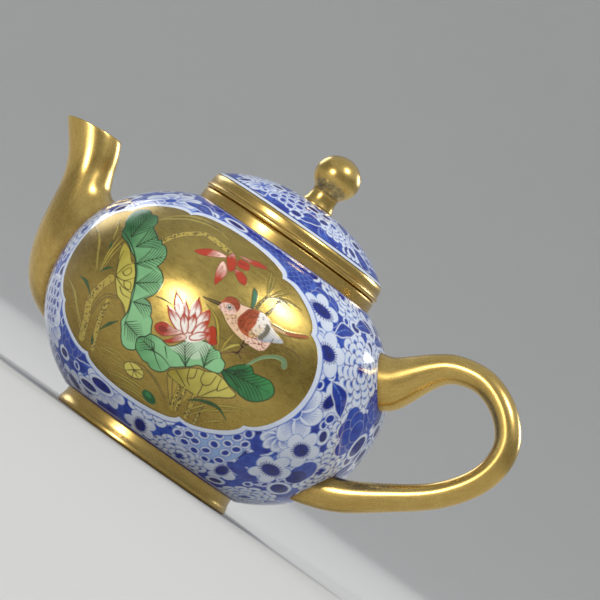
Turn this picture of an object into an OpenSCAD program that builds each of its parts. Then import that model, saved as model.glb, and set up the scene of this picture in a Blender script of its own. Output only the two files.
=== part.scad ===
// Porcelain teapot with a domed lid, a rising spout and a loop handle.
// Units are millimetres, +Z is up, and the origin is the centre of the foot's bottom plane.
// The spout points to -X, the handle to +X, and the picture panels face -Y and +Y.

/* [Body] */
// Largest outside diameter of the body
body_d = 124; // [100:1:160]
// Half height of the oval that the body is cut from
body_half_h = 45.4; // [38:0.1:56]
// Fullness of the oval, where 2 is an ellipse and more is squarer
body_fullness = 2.2; // [2:0.05:3]
// Thickness of the porcelain wall
body_wall = 3; // [2:0.1:4.5]
// Thickness of the floor
floor_t = 4; // [2:0.1:6]

/* [Foot] */
// Height of the foot ring
foot_h = 6; // [3:0.1:10]
// Outside diameter where the foot ring meets the body
foot_d = 67; // [50:1:80]
// How much further out the foot ring stands at its bottom edge
foot_flare = 1; // [0:0.1:3]
// Thickness of the foot ring
foot_wall = 5; // [3:0.1:8]
// How far the foot ring stands in from the body's lower edge
foot_step = 1.5; // [0:0.1:3]

/* [Mouth] */
// Diameter of the mouth's bore
mouth_bore_d = 60; // [50:1:72]
// Thickness of the mouth ring, from the bore to its outside
mouth_wall = 4.7; // [4:0.1:7]
// Height of the mouth ring
mouth_h = 4.5; // [3:0.1:8]
// How far the mouth ring stands in from the body's upper edge
mouth_step = 1; // [0:0.1:3]
// Rounding of the mouth ring's outer top edge
mouth_round = 2; // [0.5:0.1:3]

/* [Strainer] */
// Diameter of each strainer hole
strainer_hole_d = 4; // [2.5:0.1:5]
// Distance between neighbouring strainer holes
strainer_pitch = 7.5; // [6:0.1:9]
// How far the strainer's middle hole is below the body's widest place
strainer_drop = 11; // [9:0.5:13]

/* [Spout] */
// Width across the spout where it leaves the body
spout_root_w = 36; // [30:0.5:44]
// Width across the spout's lip
spout_lip_w = 17; // [12:0.5:22]
// How far the lip's tip stands out from the body's widest place
spout_out = 31; // [25:0.5:40]
// Height of the lip's tip above the body's widest place
spout_rise = 36; // [30:0.5:44]
// How much the lip's inward side rises above its tip
spout_crown = 4; // [0:0.5:6]
// Thickness of the spout's wall
spout_wall = 2.8; // [2:0.1:3.5]

/* [Handle] */
// Thickness of the handle's bar
handle_t = 8.9; // [7:0.1:13]
// Width across the handle's bar
handle_w = 9.8; // [7:0.1:13]
// How far the handle's back stands out from the body's widest place
handle_out = 46; // [38:0.5:56]
// Height of the handle's highest place above the mouth ring
handle_rise = 3.2; // [0:0.1:10]

/* [Panels] */
// How far a panel's sides stand in from the body's widest place, measured straight across the pot
panel_side = 14.2; // [12:0.1:24]
// Glaze left between a panel and the mouth ring
panel_gap_top = 4.2; // [3:0.1:10]
// Glaze left between a panel and the foot ring
panel_gap_bottom = 9.1; // [5:0.1:14]
// Thickness of the gilt ground, which stands proud of the glaze
panel_t = 0.3; // [0.2:0.05:0.6]

/* [Lid] */
// Height of the gilt rim band
rim_h = 5.5; // [4:0.1:8]
// How far the rim band stands in from the mouth ring that it sits on
rim_step = 0.2; // [0:0.1:1.5]
// Height of the bead along the rim's lower edge
bead_h = 1.6; // [1:0.1:2]
// How far the bead stands out from the band
bead_out = 0.6; // [0.2:0.1:1.2]
// Rise of the dome above the rim band
dome_rise = 10; // [6:0.5:16]
// Thickness of the dome's wall
dome_wall = 3.2; // [2.5:0.1:4]
// Step in from the rim band to the dome's edge
dome_step = 0.6; // [0.2:0.1:2]
// Radial clearance between the flange and the mouth's bore
flange_gap = 0.75; // [0.4:0.05:1.5]
// Depth of the flange below the rim
flange_depth = 16; // [10:0.5:20]
// Thickness of the flange
flange_wall = 3; // [2:0.1:4]
// Diameter of the steam vent
vent_d = 2.6; // [2:0.1:4]

/* [Knob] */
// Diameter of the knob's ball
knob_d = 16.4; // [12:0.1:20]
// Height of the ball, which is slightly flattened
knob_ball_h = 15.2; // [11:0.1:19]
// Diameter of the neck at its thinnest
knob_neck_d = 9.6; // [7:0.1:11]
// Diameter of the neck's foot
knob_foot_d = 11.6; // [9:0.1:14]
// Height of the whole knob
knob_h = 19.6; // [17:0.1:25]

/* [Hidden] */
$fn = 96;
body_r = body_d / 2;
foot_r = foot_d / 2;
mouth_bore_r = mouth_bore_d / 2;
mouth_r = mouth_bore_r + mouth_wall;
cavity_floor_z = foot_h + floor_t;
profile_steps = 24;
cut_margin = 10;

// Height above the body's middle at which its oval, drawn in by a wall thickness, has radius r
function oval_rise(r, inset = 0) =
    (body_half_h - inset) * pow(1 - pow(r / (body_r - inset), body_fullness), 1 / body_fullness);

// The body's widest place, and the mouth ring that stands where the body has narrowed to it
body_mid_z = foot_h + oval_rise(foot_r + foot_step);
mouth_z = body_mid_z + oval_rise(mouth_r + mouth_step);
mouth_top_z = mouth_z + mouth_h;
strainer_z = body_mid_z - strainer_drop;

// Radius of the body's oval at height z, drawn in by a wall thickness
function oval_r(z, inset = 0) =
    let (t = min(1, abs(z - body_mid_z) / (body_half_h - inset)))
    (body_r - inset) * pow(1 - pow(t, body_fullness), 1 / body_fullness);

// Points of the oval from one height to another
function oval_points(z0, z1, inset = 0) =
    [for (i = [0 : profile_steps]) let (z = z0 + (z1 - z0) * i / profile_steps) [oval_r(z, inset), z]];

// The body's outside as one solid, which everything that stands on it is cut with
module body_outside(proud = 0) {
    upper = oval_points(body_mid_z, mouth_z, -proud);
    rotate_extrude()
        polygon(concat([[0, foot_h]], oval_points(foot_h, body_mid_z, -proud),
            [for (p = upper) if (p[1] > body_mid_z) p], [[0, mouth_z]]));
}

// Smooth curve through stations: a Catmull-Rom blend of rows a, b, c and d at share t
function blend4(a, b, c, d, t) =
    0.5 * (2 * b + (c - a) * t + (2 * a - 5 * b + 4 * c - d) * t * t + (3 * b - a - 3 * c + d) * t * t * t);

function station(rows, s) =
    let (last = len(rows) - 1, i = min(floor(s), last - 1))
    blend4(rows[max(i - 1, 0)], rows[i], rows[i + 1], rows[min(i + 2, last)], s - i);

// One ring of a bent tube in the XZ plane.
// A row is [x, z, half depth in the plane, half width along Y, lean of the ring, crown].
// The crown lifts the ring from nothing at its outward side to the most at its inward side.
function tube_ring(row, sides, inset) =
    [for (k = [0 : sides - 1])
        let (a = 360 * k / sides, d = (row[2] - inset) * cos(a), w = (row[3] - inset) * sin(a))
        [row[0] + d * cos(row[4]), w, row[1] + d * sin(row[4]) + row[5] * pow((1 - cos(a)) / 2, 0.6)]];

// Triangles between neighbouring rings of points. A closed run joins its last ring to its first.
function ring_walls(rings, sides, closed) =
    [for (j = [0 : rings - (closed ? 1 : 2)], k = [0 : sides - 1])
        let (n = (k + 1) % sides, a = j * sides, b = (j + 1) % rings * sides)
        each [[a + k, a + n, b + n], [a + k, b + n, b + k]]];

// Solid bar along the rows, with a fan of triangles over each end
module bent_bar(rows, steps, sides) {
    rings = steps * (len(rows) - 1) + 1;
    hub = rings * sides;
    top = hub - sides;
    points = [for (j = [0 : rings - 1]) each tube_ring(station(rows, j / steps), sides, 0),
        for (row = [rows[0], rows[len(rows) - 1]]) [row[0], 0, row[1]]];
    ends = [for (k = [0 : sides - 1])
        let (n = (k + 1) % sides) each [[n, k, hub], [top + k, top + n, hub + 1]]];
    polyhedron(points = points, faces = concat(ring_walls(rings, sides, false), ends));
}

// Open pipe along the rows: up the outside, over the lip and back down the inside
module bent_pipe(rows, steps, sides, wall) {
    rings = steps * (len(rows) - 1) + 1;
    points = [for (j = [0 : rings - 1]) each tube_ring(station(rows, j / steps), sides, 0),
        for (j = [rings - 1 : -1 : 0]) each tube_ring(station(rows, j / steps), sides, wall)];
    polyhedron(points = points, faces = ring_walls(2 * rings, sides, true));
}

// Spout stations from inside the body's wall up to the lip. Past the root, a station's place is a
// share of the spout's outward reach and rise, so that the whole curve follows them.
spout_half = spout_root_w / 2;
lip_half = spout_lip_w / 2;
lip_depth = 10.4;
root_depth = 0.53 * body_half_h;
function spout_station(out, up, depth, half_w, lean, crown = 0) =
    [-body_r - out * spout_out, body_mid_z + up * spout_rise, depth, half_w, lean, crown];
spout_rows = [
    [-body_r + 11, body_mid_z - 3, root_depth, spout_half + 1, -92, 0],
    [-body_r + 2, body_mid_z - 1, root_depth * 0.95, spout_half, -99, 0],
    spout_station(0.15, 0.08, root_depth * 0.78, spout_half - 2.6, -105),
    spout_station(0.285, 0.27, root_depth * 0.6, spout_half - 5.4, -114),
    spout_station(0.35, 0.485, root_depth * 0.45, spout_half - 7.6, -124),
    spout_station(0.4, 0.655, lip_depth * 0.84, lip_half + 0.4, -137),
    spout_station(0.49, 0.82, lip_depth * 0.77, lip_half - 0.2, -158, 1.6),
    spout_station(1 - lip_depth / spout_out, 0.985, lip_depth, lip_half, -182, spout_crown)];

// The handle's rings stand square to its line. A row is [x, z, half depth, half width].
// Places near the body are shares of the body's half height above its widest place.
bar_t = handle_t / 2;
bar_w = handle_w / 2;
back_x = body_r + handle_out - bar_t;
top_z = mouth_top_z + handle_rise - bar_t;
function wall_station(out, up, half_t, half_w) =
    [body_r + out, body_mid_z + up * body_half_h, half_t, half_w];
function back_station(in, up) = [back_x - in, body_mid_z + up * body_half_h, bar_t, bar_w];
handle_line = [
    wall_station(-11, 0.46, 10.5, bar_w + 4.5),
    wall_station(-3.5, 0.54, 9.6, bar_w + 3.6),
    wall_station(2.5, 0.705, 6, bar_w + 1.4),
    [body_r + 10, top_z - 2.6, bar_t + 0.2, bar_w],
    [body_r + 21.5, top_z, bar_t, bar_w],
    [back_x - 9, top_z - 4, bar_t, bar_w],
    [back_x - 1.5, top_z - 12, bar_t, bar_w],
    [back_x, top_z - 21.5, bar_t, bar_w],
    back_station(3.4, 0.24),
    back_station(11.5, 0.025),
    back_station(23.5, -0.17),
    wall_station(5.5, -0.345, bar_t + 1.2, bar_w + 0.4),
    wall_station(-4, -0.43, bar_t + 2.2, bar_w + 0.8),
    wall_station(-13, -0.495, bar_t + 1, bar_w)];
lean_step = 0.05;
function line_lean(rows, s) =
    let (last = len(rows) - 1,
        d = station(rows, min(s + lean_step, last)) - station(rows, max(s - lean_step, 0)))
    atan2(d[1], d[0]) + 90;
handle_rows = [for (i = [0 : 0.5 : len(handle_line) - 1])
    let (row = station(handle_line, i)) [row[0], row[1], row[2], row[3], line_lean(handle_line, i), 0]];

// A panel's outline: a rounded oval with two small pointed notches in each quarter.
panel_w = body_d - 2 * panel_side;
panel_h = mouth_z - foot_h - panel_gap_top - panel_gap_bottom;
panel_z = foot_h + panel_gap_bottom + panel_h / 2;
panel_points = 120;
panel_squareness = 2.1;
notch_depth = 1.5;
notch_spread = 3.2;
notch_angles = [26, 55.5];
function quarter_angle(a) = abs((a + 90) % 180 - 90);
function panel_edge(a) =
    let (x = abs(cos(a)) / (panel_w / 2), y = abs(sin(a)) / (panel_h / 2),
        oval = pow(pow(x, panel_squareness) + pow(y, panel_squareness), -1 / panel_squareness),
        notches = [for (n = notch_angles) exp(-abs(quarter_angle(a) - n) / notch_spread)])
    oval - notch_depth * (notches[0] + notches[1]);

// Lid heights at rest, where the rim band stands on the mouth ring
rim_r = mouth_r - rim_step;
rim_z = mouth_top_z;
dome_z = rim_z + rim_h;
dome_top_z = dome_z + dome_rise;
flange_r = mouth_bore_r - flange_gap;
knob_foot_r = knob_foot_d / 2;
knob_top_z = dome_top_z + knob_h;
ball_z = knob_top_z - knob_ball_h / 2;
vent_offset = knob_foot_r + 8;
dome_steps = 20;
edge_round = 1.2;

cobalt = "#4a66b8";
gold = "#b08d3c";
white_bisque = "#e9e4da";

// Lower half of the body: a bowl with a flat floor and strainer holes behind the spout.
module body_lower() {
    color(cobalt)
        difference() {
            rotate_extrude()
                polygon(concat([[0, foot_h]], oval_points(foot_h, body_mid_z),
                    oval_points(body_mid_z, cavity_floor_z, body_wall), [[0, cavity_floor_z]]));
            strainer_holes();
        }
}

// Upper half of the body, which is luted to the lower one at the widest place and open at the mouth.
module body_upper() {
    neck_z = body_mid_z + oval_rise(mouth_bore_r, body_wall);
    color(cobalt)
        rotate_extrude()
            polygon(concat(oval_points(body_mid_z, mouth_z), [[mouth_bore_r, mouth_z]],
                oval_points(neck_z, body_mid_z, body_wall)));
}

// Seven round holes, one in the middle and six around it, drilled along X.
module strainer_holes() {
    ring = [for (a = [30 : 60 : 330]) strainer_pitch * [cos(a), sin(a)]];
    for (p = concat([[0, 0]], ring))
        translate([-body_r - cut_margin, p[0], strainer_z + p[1]])
            rotate([0, 90, 0])
                cylinder(d = strainer_hole_d, h = body_r);
}

// Gilt ring that the pot stands on, with its edges eased.
module foot_ring() {
    out = foot_r + foot_flare;
    in = foot_r - foot_wall;
    color(gold)
        rotate_extrude()
            polygon([[in, foot_h], [in, edge_round], [in + edge_round, 0], [out - edge_round, 0],
                [out - edge_round * 0.3, edge_round * 0.3], [out, edge_round],
                [foot_r + foot_flare * 0.4, foot_h / 2], [foot_r, foot_h]]);
}

// Gilt ring around the mouth. Its flat top is the lid's seat.
module mouth_ring() {
    color(gold)
        rotate_extrude()
            polygon(concat([[mouth_bore_r, mouth_z], [mouth_r, mouth_z]],
                [for (a = [0 : 15 : 90]) [mouth_r - mouth_round + mouth_round * cos(a),
                    mouth_top_z - mouth_round + mouth_round * sin(a)]],
                [[mouth_bore_r, mouth_top_z]]));
}

// Hollow spout, cut to the body's outside and open at the lip.
module spout() {
    color(gold)
        difference() {
            bent_pipe(spout_rows, 4, 28, spout_wall);
            body_outside();
        }
}

// Solid loop handle, cut to the body's outside at both joints.
module handle() {
    color(gold)
        difference() {
            bent_bar(handle_rows, 2, 20);
            body_outside();
        }
}

// Thin gilt ground that follows the body, cut to the lobed outline. Side is -1 for the front.
module gilt_panel(side) {
    color(gold)
        intersection() {
            difference() {
                body_outside(panel_t);
                body_outside();
            }
            translate([0, side > 0 ? 0 : -body_r - cut_margin, panel_z])
                rotate([90, 0, 0])
                    mirror([0, 0, 1])
                        linear_extrude(height = body_r + cut_margin)
                            polygon([for (i = [0 : panel_points - 1])
                                let (a = 360 * i / panel_points) panel_edge(a) * [cos(a), sin(a)]]);
        }
}

module front_panel() {
    gilt_panel(-1);
}

module back_panel() {
    gilt_panel(1);
}

// Dome point: an arc from the edge radius at the bottom to the flat spot under the knob.
function dome_points(edge_r, z0, rise) =
    let (span = edge_r - knob_foot_r, arc_r = (span * span + rise * rise) / (2 * rise),
        full = asin(min(1, span / arc_r)))
    [for (i = [0 : dome_steps]) let (a = full * (1 - i / dome_steps))
        [knob_foot_r + arc_r * sin(a), z0 + rise - arc_r * (1 - cos(a))]];

module lid_dome() {
    edge_r = rim_r - dome_step;
    inner_r = flange_r - flange_wall;
    color(cobalt)
        difference() {
            rotate_extrude()
                polygon(concat([[inner_r, dome_z]], dome_points(edge_r, dome_z, dome_rise),
                    [[0, dome_top_z], [0, dome_top_z - dome_wall]],
                    [for (p = [dome_steps : -1 : 0]) let (q = dome_points(inner_r, dome_z,
                        dome_rise - dome_wall)[p]) if (p > 0) q]));
            translate([0, vent_offset, dome_z - cut_margin])
                cylinder(d = vent_d, h = dome_rise + 2 * cut_margin);
        }
}

// Gilt band around the lid, with a bead along its lower edge.
module lid_rim() {
    color(gold)
        rotate_extrude()
            polygon(concat([[flange_r, rim_z], [rim_r, rim_z]],
                [for (a = [-90 : 30 : 90]) [rim_r + bead_out * cos(a), rim_z + bead_h / 2 * (1 + sin(a))]],
                [[rim_r - 0.4, dome_z - 0.8], [rim_r - 1, dome_z], [flange_r, dome_z]]));
}

// Unglazed tube under the lid that keeps it on the pot.
module lid_flange() {
    inner_r = flange_r - flange_wall;
    low_z = rim_z - flange_depth;
    color(white_bisque)
        rotate_extrude()
            polygon([[inner_r, dome_z], [inner_r, low_z + edge_round / 2], [inner_r + edge_round / 2, low_z],
                [flange_r - edge_round, low_z], [flange_r - edge_round * 0.3, low_z + edge_round * 0.3],
                [flange_r, low_z + edge_round], [flange_r, dome_z]]);
}

// Gilt knob: a flattened ball on a waisted neck.
module knob() {
    neck_r = knob_neck_d / 2;
    neck_top = ball_z - knob_ball_h / 2 * sqrt(1 - pow(neck_r / (knob_d / 2), 2));
    start = acos(neck_r / (knob_d / 2));
    color(gold)
        rotate_extrude()
            polygon(concat([[0, dome_top_z], [knob_foot_r, dome_top_z], [knob_foot_r, dome_top_z + 0.6],
                [neck_r + 0.3, dome_top_z + 2.6]],
                [for (i = [0 : 24]) let (a = -start + (90 + start) * i / 24)
                    [knob_d / 2 * cos(a), ball_z + knob_ball_h / 2 * sin(a)]]));
}

body_lower();
body_upper();
foot_ring();
mouth_ring();
spout();
handle();
front_panel();
back_panel();
lid_dome();
lid_rim();
lid_flange();
knob();
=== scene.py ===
import math
import bpy
import numpy as np
from mathutils import Matrix, Vector


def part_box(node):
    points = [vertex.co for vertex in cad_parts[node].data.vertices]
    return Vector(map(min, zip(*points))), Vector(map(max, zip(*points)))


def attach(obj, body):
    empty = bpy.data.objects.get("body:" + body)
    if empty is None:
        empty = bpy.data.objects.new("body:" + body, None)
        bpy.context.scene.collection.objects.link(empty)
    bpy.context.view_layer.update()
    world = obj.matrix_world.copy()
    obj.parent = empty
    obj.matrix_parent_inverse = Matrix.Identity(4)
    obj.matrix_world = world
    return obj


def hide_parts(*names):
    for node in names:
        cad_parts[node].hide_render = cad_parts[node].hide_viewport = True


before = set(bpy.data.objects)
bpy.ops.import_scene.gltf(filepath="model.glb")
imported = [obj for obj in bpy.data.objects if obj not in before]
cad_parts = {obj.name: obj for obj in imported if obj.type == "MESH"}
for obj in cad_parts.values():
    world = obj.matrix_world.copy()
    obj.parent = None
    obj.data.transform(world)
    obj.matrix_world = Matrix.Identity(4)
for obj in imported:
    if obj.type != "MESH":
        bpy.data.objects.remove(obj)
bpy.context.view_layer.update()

mm = 0.001  # all shapes are worked out in millimetres


def corners(node):
    low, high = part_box(node)
    return np.array(low) / mm, np.array(high) / mm


def tint(red, green, blue):
    # linear colour of a paint given from 0 to 255
    paint = np.array([red, green, blue]) / 255
    return np.where(paint < 0.04045, paint / 12.92, ((paint + 0.055) / 1.055) ** 2.4)


lowerLow, lowerHigh = corners("body_lower")
upperHigh = corners("body_upper")[1]
panelLow, panelHigh = corners("front_panel")
domeLow, domeHigh = corners("lid_dome")
rimLow, rimHigh = corners("lid_rim")
flangeLow, flangeHigh = corners("lid_flange")
knobLow, knobHigh = corners("knob")
footHigh = corners("foot_ring")[1]
mouthLow, mouthHigh = corners("mouth_ring")

body = {
    "radius": lowerHigh[0],
    "bottom": lowerLow[2],
    "middle": lowerHigh[2],
    "top": upperHigh[2],
    "halfHeight": 45.4,
    "fullness": 2.2,
}


def ovalRadius(z, proud=0.0):
    share = np.clip(abs(z - body["middle"]) / (body["halfHeight"] + proud), 0, 1)
    return (body["radius"] + proud) * (1 - share ** body["fullness"]) ** (1 / body["fullness"])


camera = {
    "target": (0.0142, 0, 0.0745),
    "distance": 1.5,
    "azimuth": 18,
    "elevation": -1.8,
    "roll": 35.3,
    "frameWidth": 0.203,
}


def makeCamera():
    azimuth = math.radians(camera["azimuth"])
    elevation = math.radians(camera["elevation"])
    roll = math.radians(camera["roll"])
    back = Vector((math.sin(azimuth) * math.cos(elevation), -math.cos(azimuth) * math.cos(elevation),
                   math.sin(elevation)))
    right = Vector((math.cos(azimuth), math.sin(azimuth), 0))
    up = back.cross(right)
    axisX = right * math.cos(roll) + up * math.sin(roll)
    axisY = up * math.cos(roll) - right * math.sin(roll)
    place = Vector(camera["target"]) + back * camera["distance"]
    data = bpy.data.cameras.new("camera")
    data.sensor_width = 36
    data.lens = data.sensor_width * camera["distance"] / camera["frameWidth"]
    data.clip_end = 30
    made = bpy.data.objects.new("camera", data)
    bpy.context.scene.collection.objects.link(made)
    made.matrix_world = Matrix.Translation(place) @ Matrix((axisX, axisY, back)).transposed().to_4x4()
    bpy.context.scene.camera = made


makeCamera()
print("camera placed")


class Wire:
    # one socket of a material, so that shader maths reads as Python
    def __init__(self, tree, socket=None):
        self.tree = tree
        self.socket = socket

    def node(self, kind, settings=None, sockets=None, out=0):
        made = self.tree.nodes.new("ShaderNode" + kind)
        for name, value in (settings or {}).items():
            if name == "stops":
                ramp = made.color_ramp
                while len(ramp.elements) < len(value):
                    ramp.elements.new(0.5)
                for element, (place, colour) in zip(ramp.elements, value):
                    element.position = place
                    element.color = (*colour, 1)
            else:
                setattr(made, name, value)
        for name, value in (sockets or {}).items():
            if isinstance(value, Wire):
                self.tree.links.new(value.socket, made.inputs[name])
            else:
                made.inputs[name].default_value = value
        return Wire(self.tree, made.outputs[out])

    def maths(self, operation, first, second=0.0):
        return self.node("Math", {"operation": operation}, {0: first, 1: second})

    def __add__(self, other):
        return self.maths("ADD", self, other)

    def __radd__(self, other):
        return self.maths("ADD", other, self)

    def __sub__(self, other):
        return self.maths("SUBTRACT", self, other)

    def __rsub__(self, other):
        return self.maths("SUBTRACT", other, self)

    def __mul__(self, other):
        return self.maths("MULTIPLY", self, other)

    def __rmul__(self, other):
        return self.maths("MULTIPLY", other, self)

    def spread(self, low, high):
        # 0 below low and 1 above high
        settings = {"clamp": True, "interpolation_type": "SMOOTHSTEP"}
        return self.node("MapRange", settings, {"Value": self, "From Min": low, "From Max": high})

    def mixed(self, first, second):
        # a colour between two colours, by this value
        return self.node("Mix", {"data_type": "RGBA"}, {0: self, 6: first, 7: second}, 2)

    def multiplied(self, shade):
        # this colour times another
        settings = {"data_type": "RGBA", "blend_type": "MULTIPLY"}
        return self.node("Mix", settings, {0: 1.0, 6: self, 7: shade}, 2)

    def noise(self, place, scale, detail=3.0, roughness=0.5, distortion=0.0):
        sockets = {"Vector": place, "Scale": scale, "Detail": detail, "Roughness": roughness,
                   "Distortion": distortion}
        return self.node("TexNoise", {}, sockets)

    def bump(self, strength, distance):
        # a normal from this height
        return self.node("Bump", {}, {"Height": self, "Strength": strength, "Distance": distance})

    def stretched(self, scale):
        return self.node("VectorMath", {"operation": "MULTIPLY"}, {0: self, 1: scale})


def newMaterial(name):
    made = bpy.data.materials.new(name)
    made.use_nodes = True
    made.node_tree.nodes.clear()
    return made, Wire(made.node_tree)


def finishMaterial(start, sockets):
    shader = start.node("BsdfPrincipled", {}, sockets)
    output = start.tree.nodes.new("ShaderNodeOutputMaterial")
    start.tree.links.new(shader.socket, output.inputs["Surface"])


stage = {
    "flat": 2.6,
    "bend": 1.4,
    "wall": 1.6,
    "colour": tint(196, 195, 192),
    "world": (0.86, 0.92, 1.0),
    "worldStrength": 0.62,
}
# where each soft box stands as a direction from the pot, then distance, size, power in watts and colour
softBoxes = {
    "frontBox": [(-0.31, -0.91, 0.22), 2.5, 0.5, 25, (1.0, 0.97, 0.92)],
    "topBox": [(0.36, -0.29, 0.88), 2.5, 0.5, 26, (1.0, 0.98, 0.95)],
    "sideBox": [(-0.85, 0.5, 0.35), 2.6, 1.2, 12, (0.93, 0.96, 1.0)],
    "rearBox": [(0.45, 0.85, 0.5), 2.6, 0.9, 20, (0.95, 0.97, 1.0)],
}


def makeStage():
    turns = 96
    quarter = [math.radians(a) for a in range(0, 91, 6)]
    line = [(0.02, 0), (stage["flat"], 0)]
    for a in quarter[1:]:
        line.append((stage["flat"] + stage["bend"] * math.sin(a), stage["bend"] * (1 - math.cos(a))))
    line.append((stage["flat"] + stage["bend"], stage["bend"] + stage["wall"]))
    points = []
    for radius, height in line:
        for turn in range(turns):
            angle = 2 * math.pi * turn / turns
            points.append((radius * math.sin(angle), -radius * math.cos(angle), height))
    faces = []
    for row in range(len(line) - 1):
        for turn in range(turns):
            side = (turn + 1) % turns
            low = row * turns
            faces.append((low + turns + turn, low + turns + side, low + side, low + turn))
    faces.append(tuple(range(turns)))
    data = bpy.data.meshes.new("floor")
    data.from_pydata(points, [], faces)
    data.shade_smooth()
    floor = bpy.data.objects.new("floor", data)
    bpy.context.scene.collection.objects.link(floor)
    made, start = newMaterial("paleFloor")
    place = start.node("TexCoord", {}, {}, 3)
    grain = start.noise(place, 40, 4)
    colour = (grain * 0.12).mixed((*stage["colour"], 1), (*(stage["colour"] * 0.9), 1))
    finishMaterial(start, {"Base Color": colour, "Roughness": 0.75, "Normal": grain.bump(0.05, 0.002)})
    data.materials.append(made)


def makeLights():
    world = bpy.data.worlds.new("studio")
    world.use_nodes = True
    sky = world.node_tree.nodes["Background"]
    sky.inputs["Color"].default_value = (*stage["world"], 1)
    sky.inputs["Strength"].default_value = stage["worldStrength"]
    bpy.context.scene.world = world
    for name, (way, distance, size, power, colour) in softBoxes.items():
        data = bpy.data.lights.new(name, "AREA")
        data.shape = "DISK"
        data.size = size
        data.energy = power
        data.color = colour
        light = bpy.data.objects.new(name, data)
        bpy.context.scene.collection.objects.link(light)
        way = Vector(way).normalized()
        light.location = Vector(camera["target"]) + way * distance
        light.rotation_euler = way.to_track_quat("Z", "Y").to_euler()
    bpy.context.scene.view_settings.view_transform = "Standard"


makeStage()
makeLights()
print("stage and lights placed")


def gridFaces(rows, columns):
    # quads between neighbouring rows of points, where rows climb the outside of the piece
    column = np.arange(columns)
    beside = (column + 1) % columns
    low = np.arange(rows - 1)[:, None] * columns
    quads = [low + column, low + beside, low + columns + beside, low + columns + column]
    return np.stack(quads, -1).reshape(-1, 4)


def makePiece(name, points, faces, material, bodyName, replaced=(), values=None, uv=None, sharp=None):
    # points in mm, faces as lists of quads, triangles or one polygon each
    data = bpy.data.meshes.new(name)
    data.vertices.add(len(points))
    data.vertices.foreach_set("co", (np.asarray(points) * mm).astype(np.float32).ravel())
    loops = np.concatenate([np.asarray(f).ravel() for f in faces]).astype(np.int32)
    sizes = np.concatenate([np.full(len(f), np.asarray(f).shape[1]) for f in faces])
    data.loops.add(len(loops))
    data.loops.foreach_set("vertex_index", loops)
    data.polygons.add(len(sizes))
    data.polygons.foreach_set("loop_start", np.concatenate([[0], np.cumsum(sizes)[:-1]]).astype(np.int32))
    data.update(calc_edges=True)
    data.validate()
    data.shade_smooth()
    if sharp:
        data.set_sharp_from_angle(angle=math.radians(sharp))
    for label, (kind, field, numbers) in (values or {}).items():
        layer = data.attributes.new(label, kind, "POINT")
        layer.data.foreach_set(field, np.asarray(numbers).astype(np.float32).ravel())
    if uv is not None:
        # a face that crosses the map's seam gets its far side past it, and one that closes the piece no room
        quads = uv[loops].reshape(-1, 4, 2)
        across = np.ptp(quads[..., 0], axis=1) > 0.5
        quads[across, :, 0] += np.where(quads[across, :, 0] < 0.5, 1, 0)
        closing = np.ptp(quads[..., 1], axis=1) > 0.5
        quads[closing, :, 1] = 1
        layer = data.uv_layers.new(name="OFBake")
        layer.data.foreach_set("uv", quads.astype(np.float32).ravel())
    piece = bpy.data.objects.new(name, data)
    bpy.context.scene.collection.objects.link(piece)
    data.materials.append(material)
    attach(piece, bodyName)
    if replaced:
        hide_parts(*replaced)
    return piece


def softened(outline, steps=5):
    # each corner is (radius, height, how far back its rounding starts)
    points = np.array([c[:2] for c in outline], float)
    line = []
    for i, soft in enumerate(c[2] for c in outline):
        here = points[i]
        if soft == 0:
            line.append(here)
            continue
        before = points[i - 1] - here
        after = points[(i + 1) % len(points)] - here
        first = here + before / np.linalg.norm(before) * soft
        last = here + after / np.linalg.norm(after) * soft
        for t in np.linspace(0, 1, steps):
            line.append(first * (1 - t) ** 2 + here * 2 * t * (1 - t) + last * t * t)
    return np.array(line)


def turned(line, columns):
    # the points of a profile turned round the pot's axis, starting at the front and going towards +X
    angle = np.linspace(0, 2 * np.pi, columns, endpoint=False)
    radius = line[:, 0:1]
    height = np.repeat(line[:, 1:2], columns, 1)
    return np.stack([radius * np.sin(angle), -radius * np.cos(angle), height], -1).reshape(-1, 3)


def smoothLine(points, steps=6, closed=False):
    # a curve through the points, where a point given twice makes a sharp notch
    p = np.asarray(points, float)
    if len(p) < 3:
        return p
    if closed:
        p = np.concatenate([p[-1:], p, p[:2]])
    else:
        p = np.concatenate([2 * p[:1] - p[1:2], p, 2 * p[-1:] - p[-2:-1]])
    t = np.linspace(0, 1, steps, endpoint=False)[:, None]
    line = []
    for a, b, c, d in zip(p[:-3], p[1:-2], p[2:-1], p[3:]):
        line.append(0.5 * (2 * b + (c - a) * t + (2 * a - 5 * b + 4 * c - d) * t**2
                           + (3 * b - a - 3 * c + d) * t**3))
    if not closed:
        line.append(p[-2:-1])
    return np.concatenate(line)


def wash(x, y, size, seed=0):
    # slow uneven variation of a brush wash, from about -1 to 1
    total = 0
    for k in range(5):
        turn = seed * 1.7 + k * 2.4
        reach = size * (0.6 + 0.35 * k)
        total = total + np.sin((x * math.cos(turn) + y * math.sin(turn)) * 2 * math.pi / reach + 3 * turn)
    return total / 3.2


class Canvas:
    # the paint on one surface: colour, cover of paint over bare gold, and height, at every point
    def __init__(self, count, pitch, ground, enamel):
        self.pitch = pitch
        self.colour = np.zeros((count, 3)) + ground
        self.enamel = np.zeros(count) + enamel
        self.height = np.zeros(count)


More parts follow.
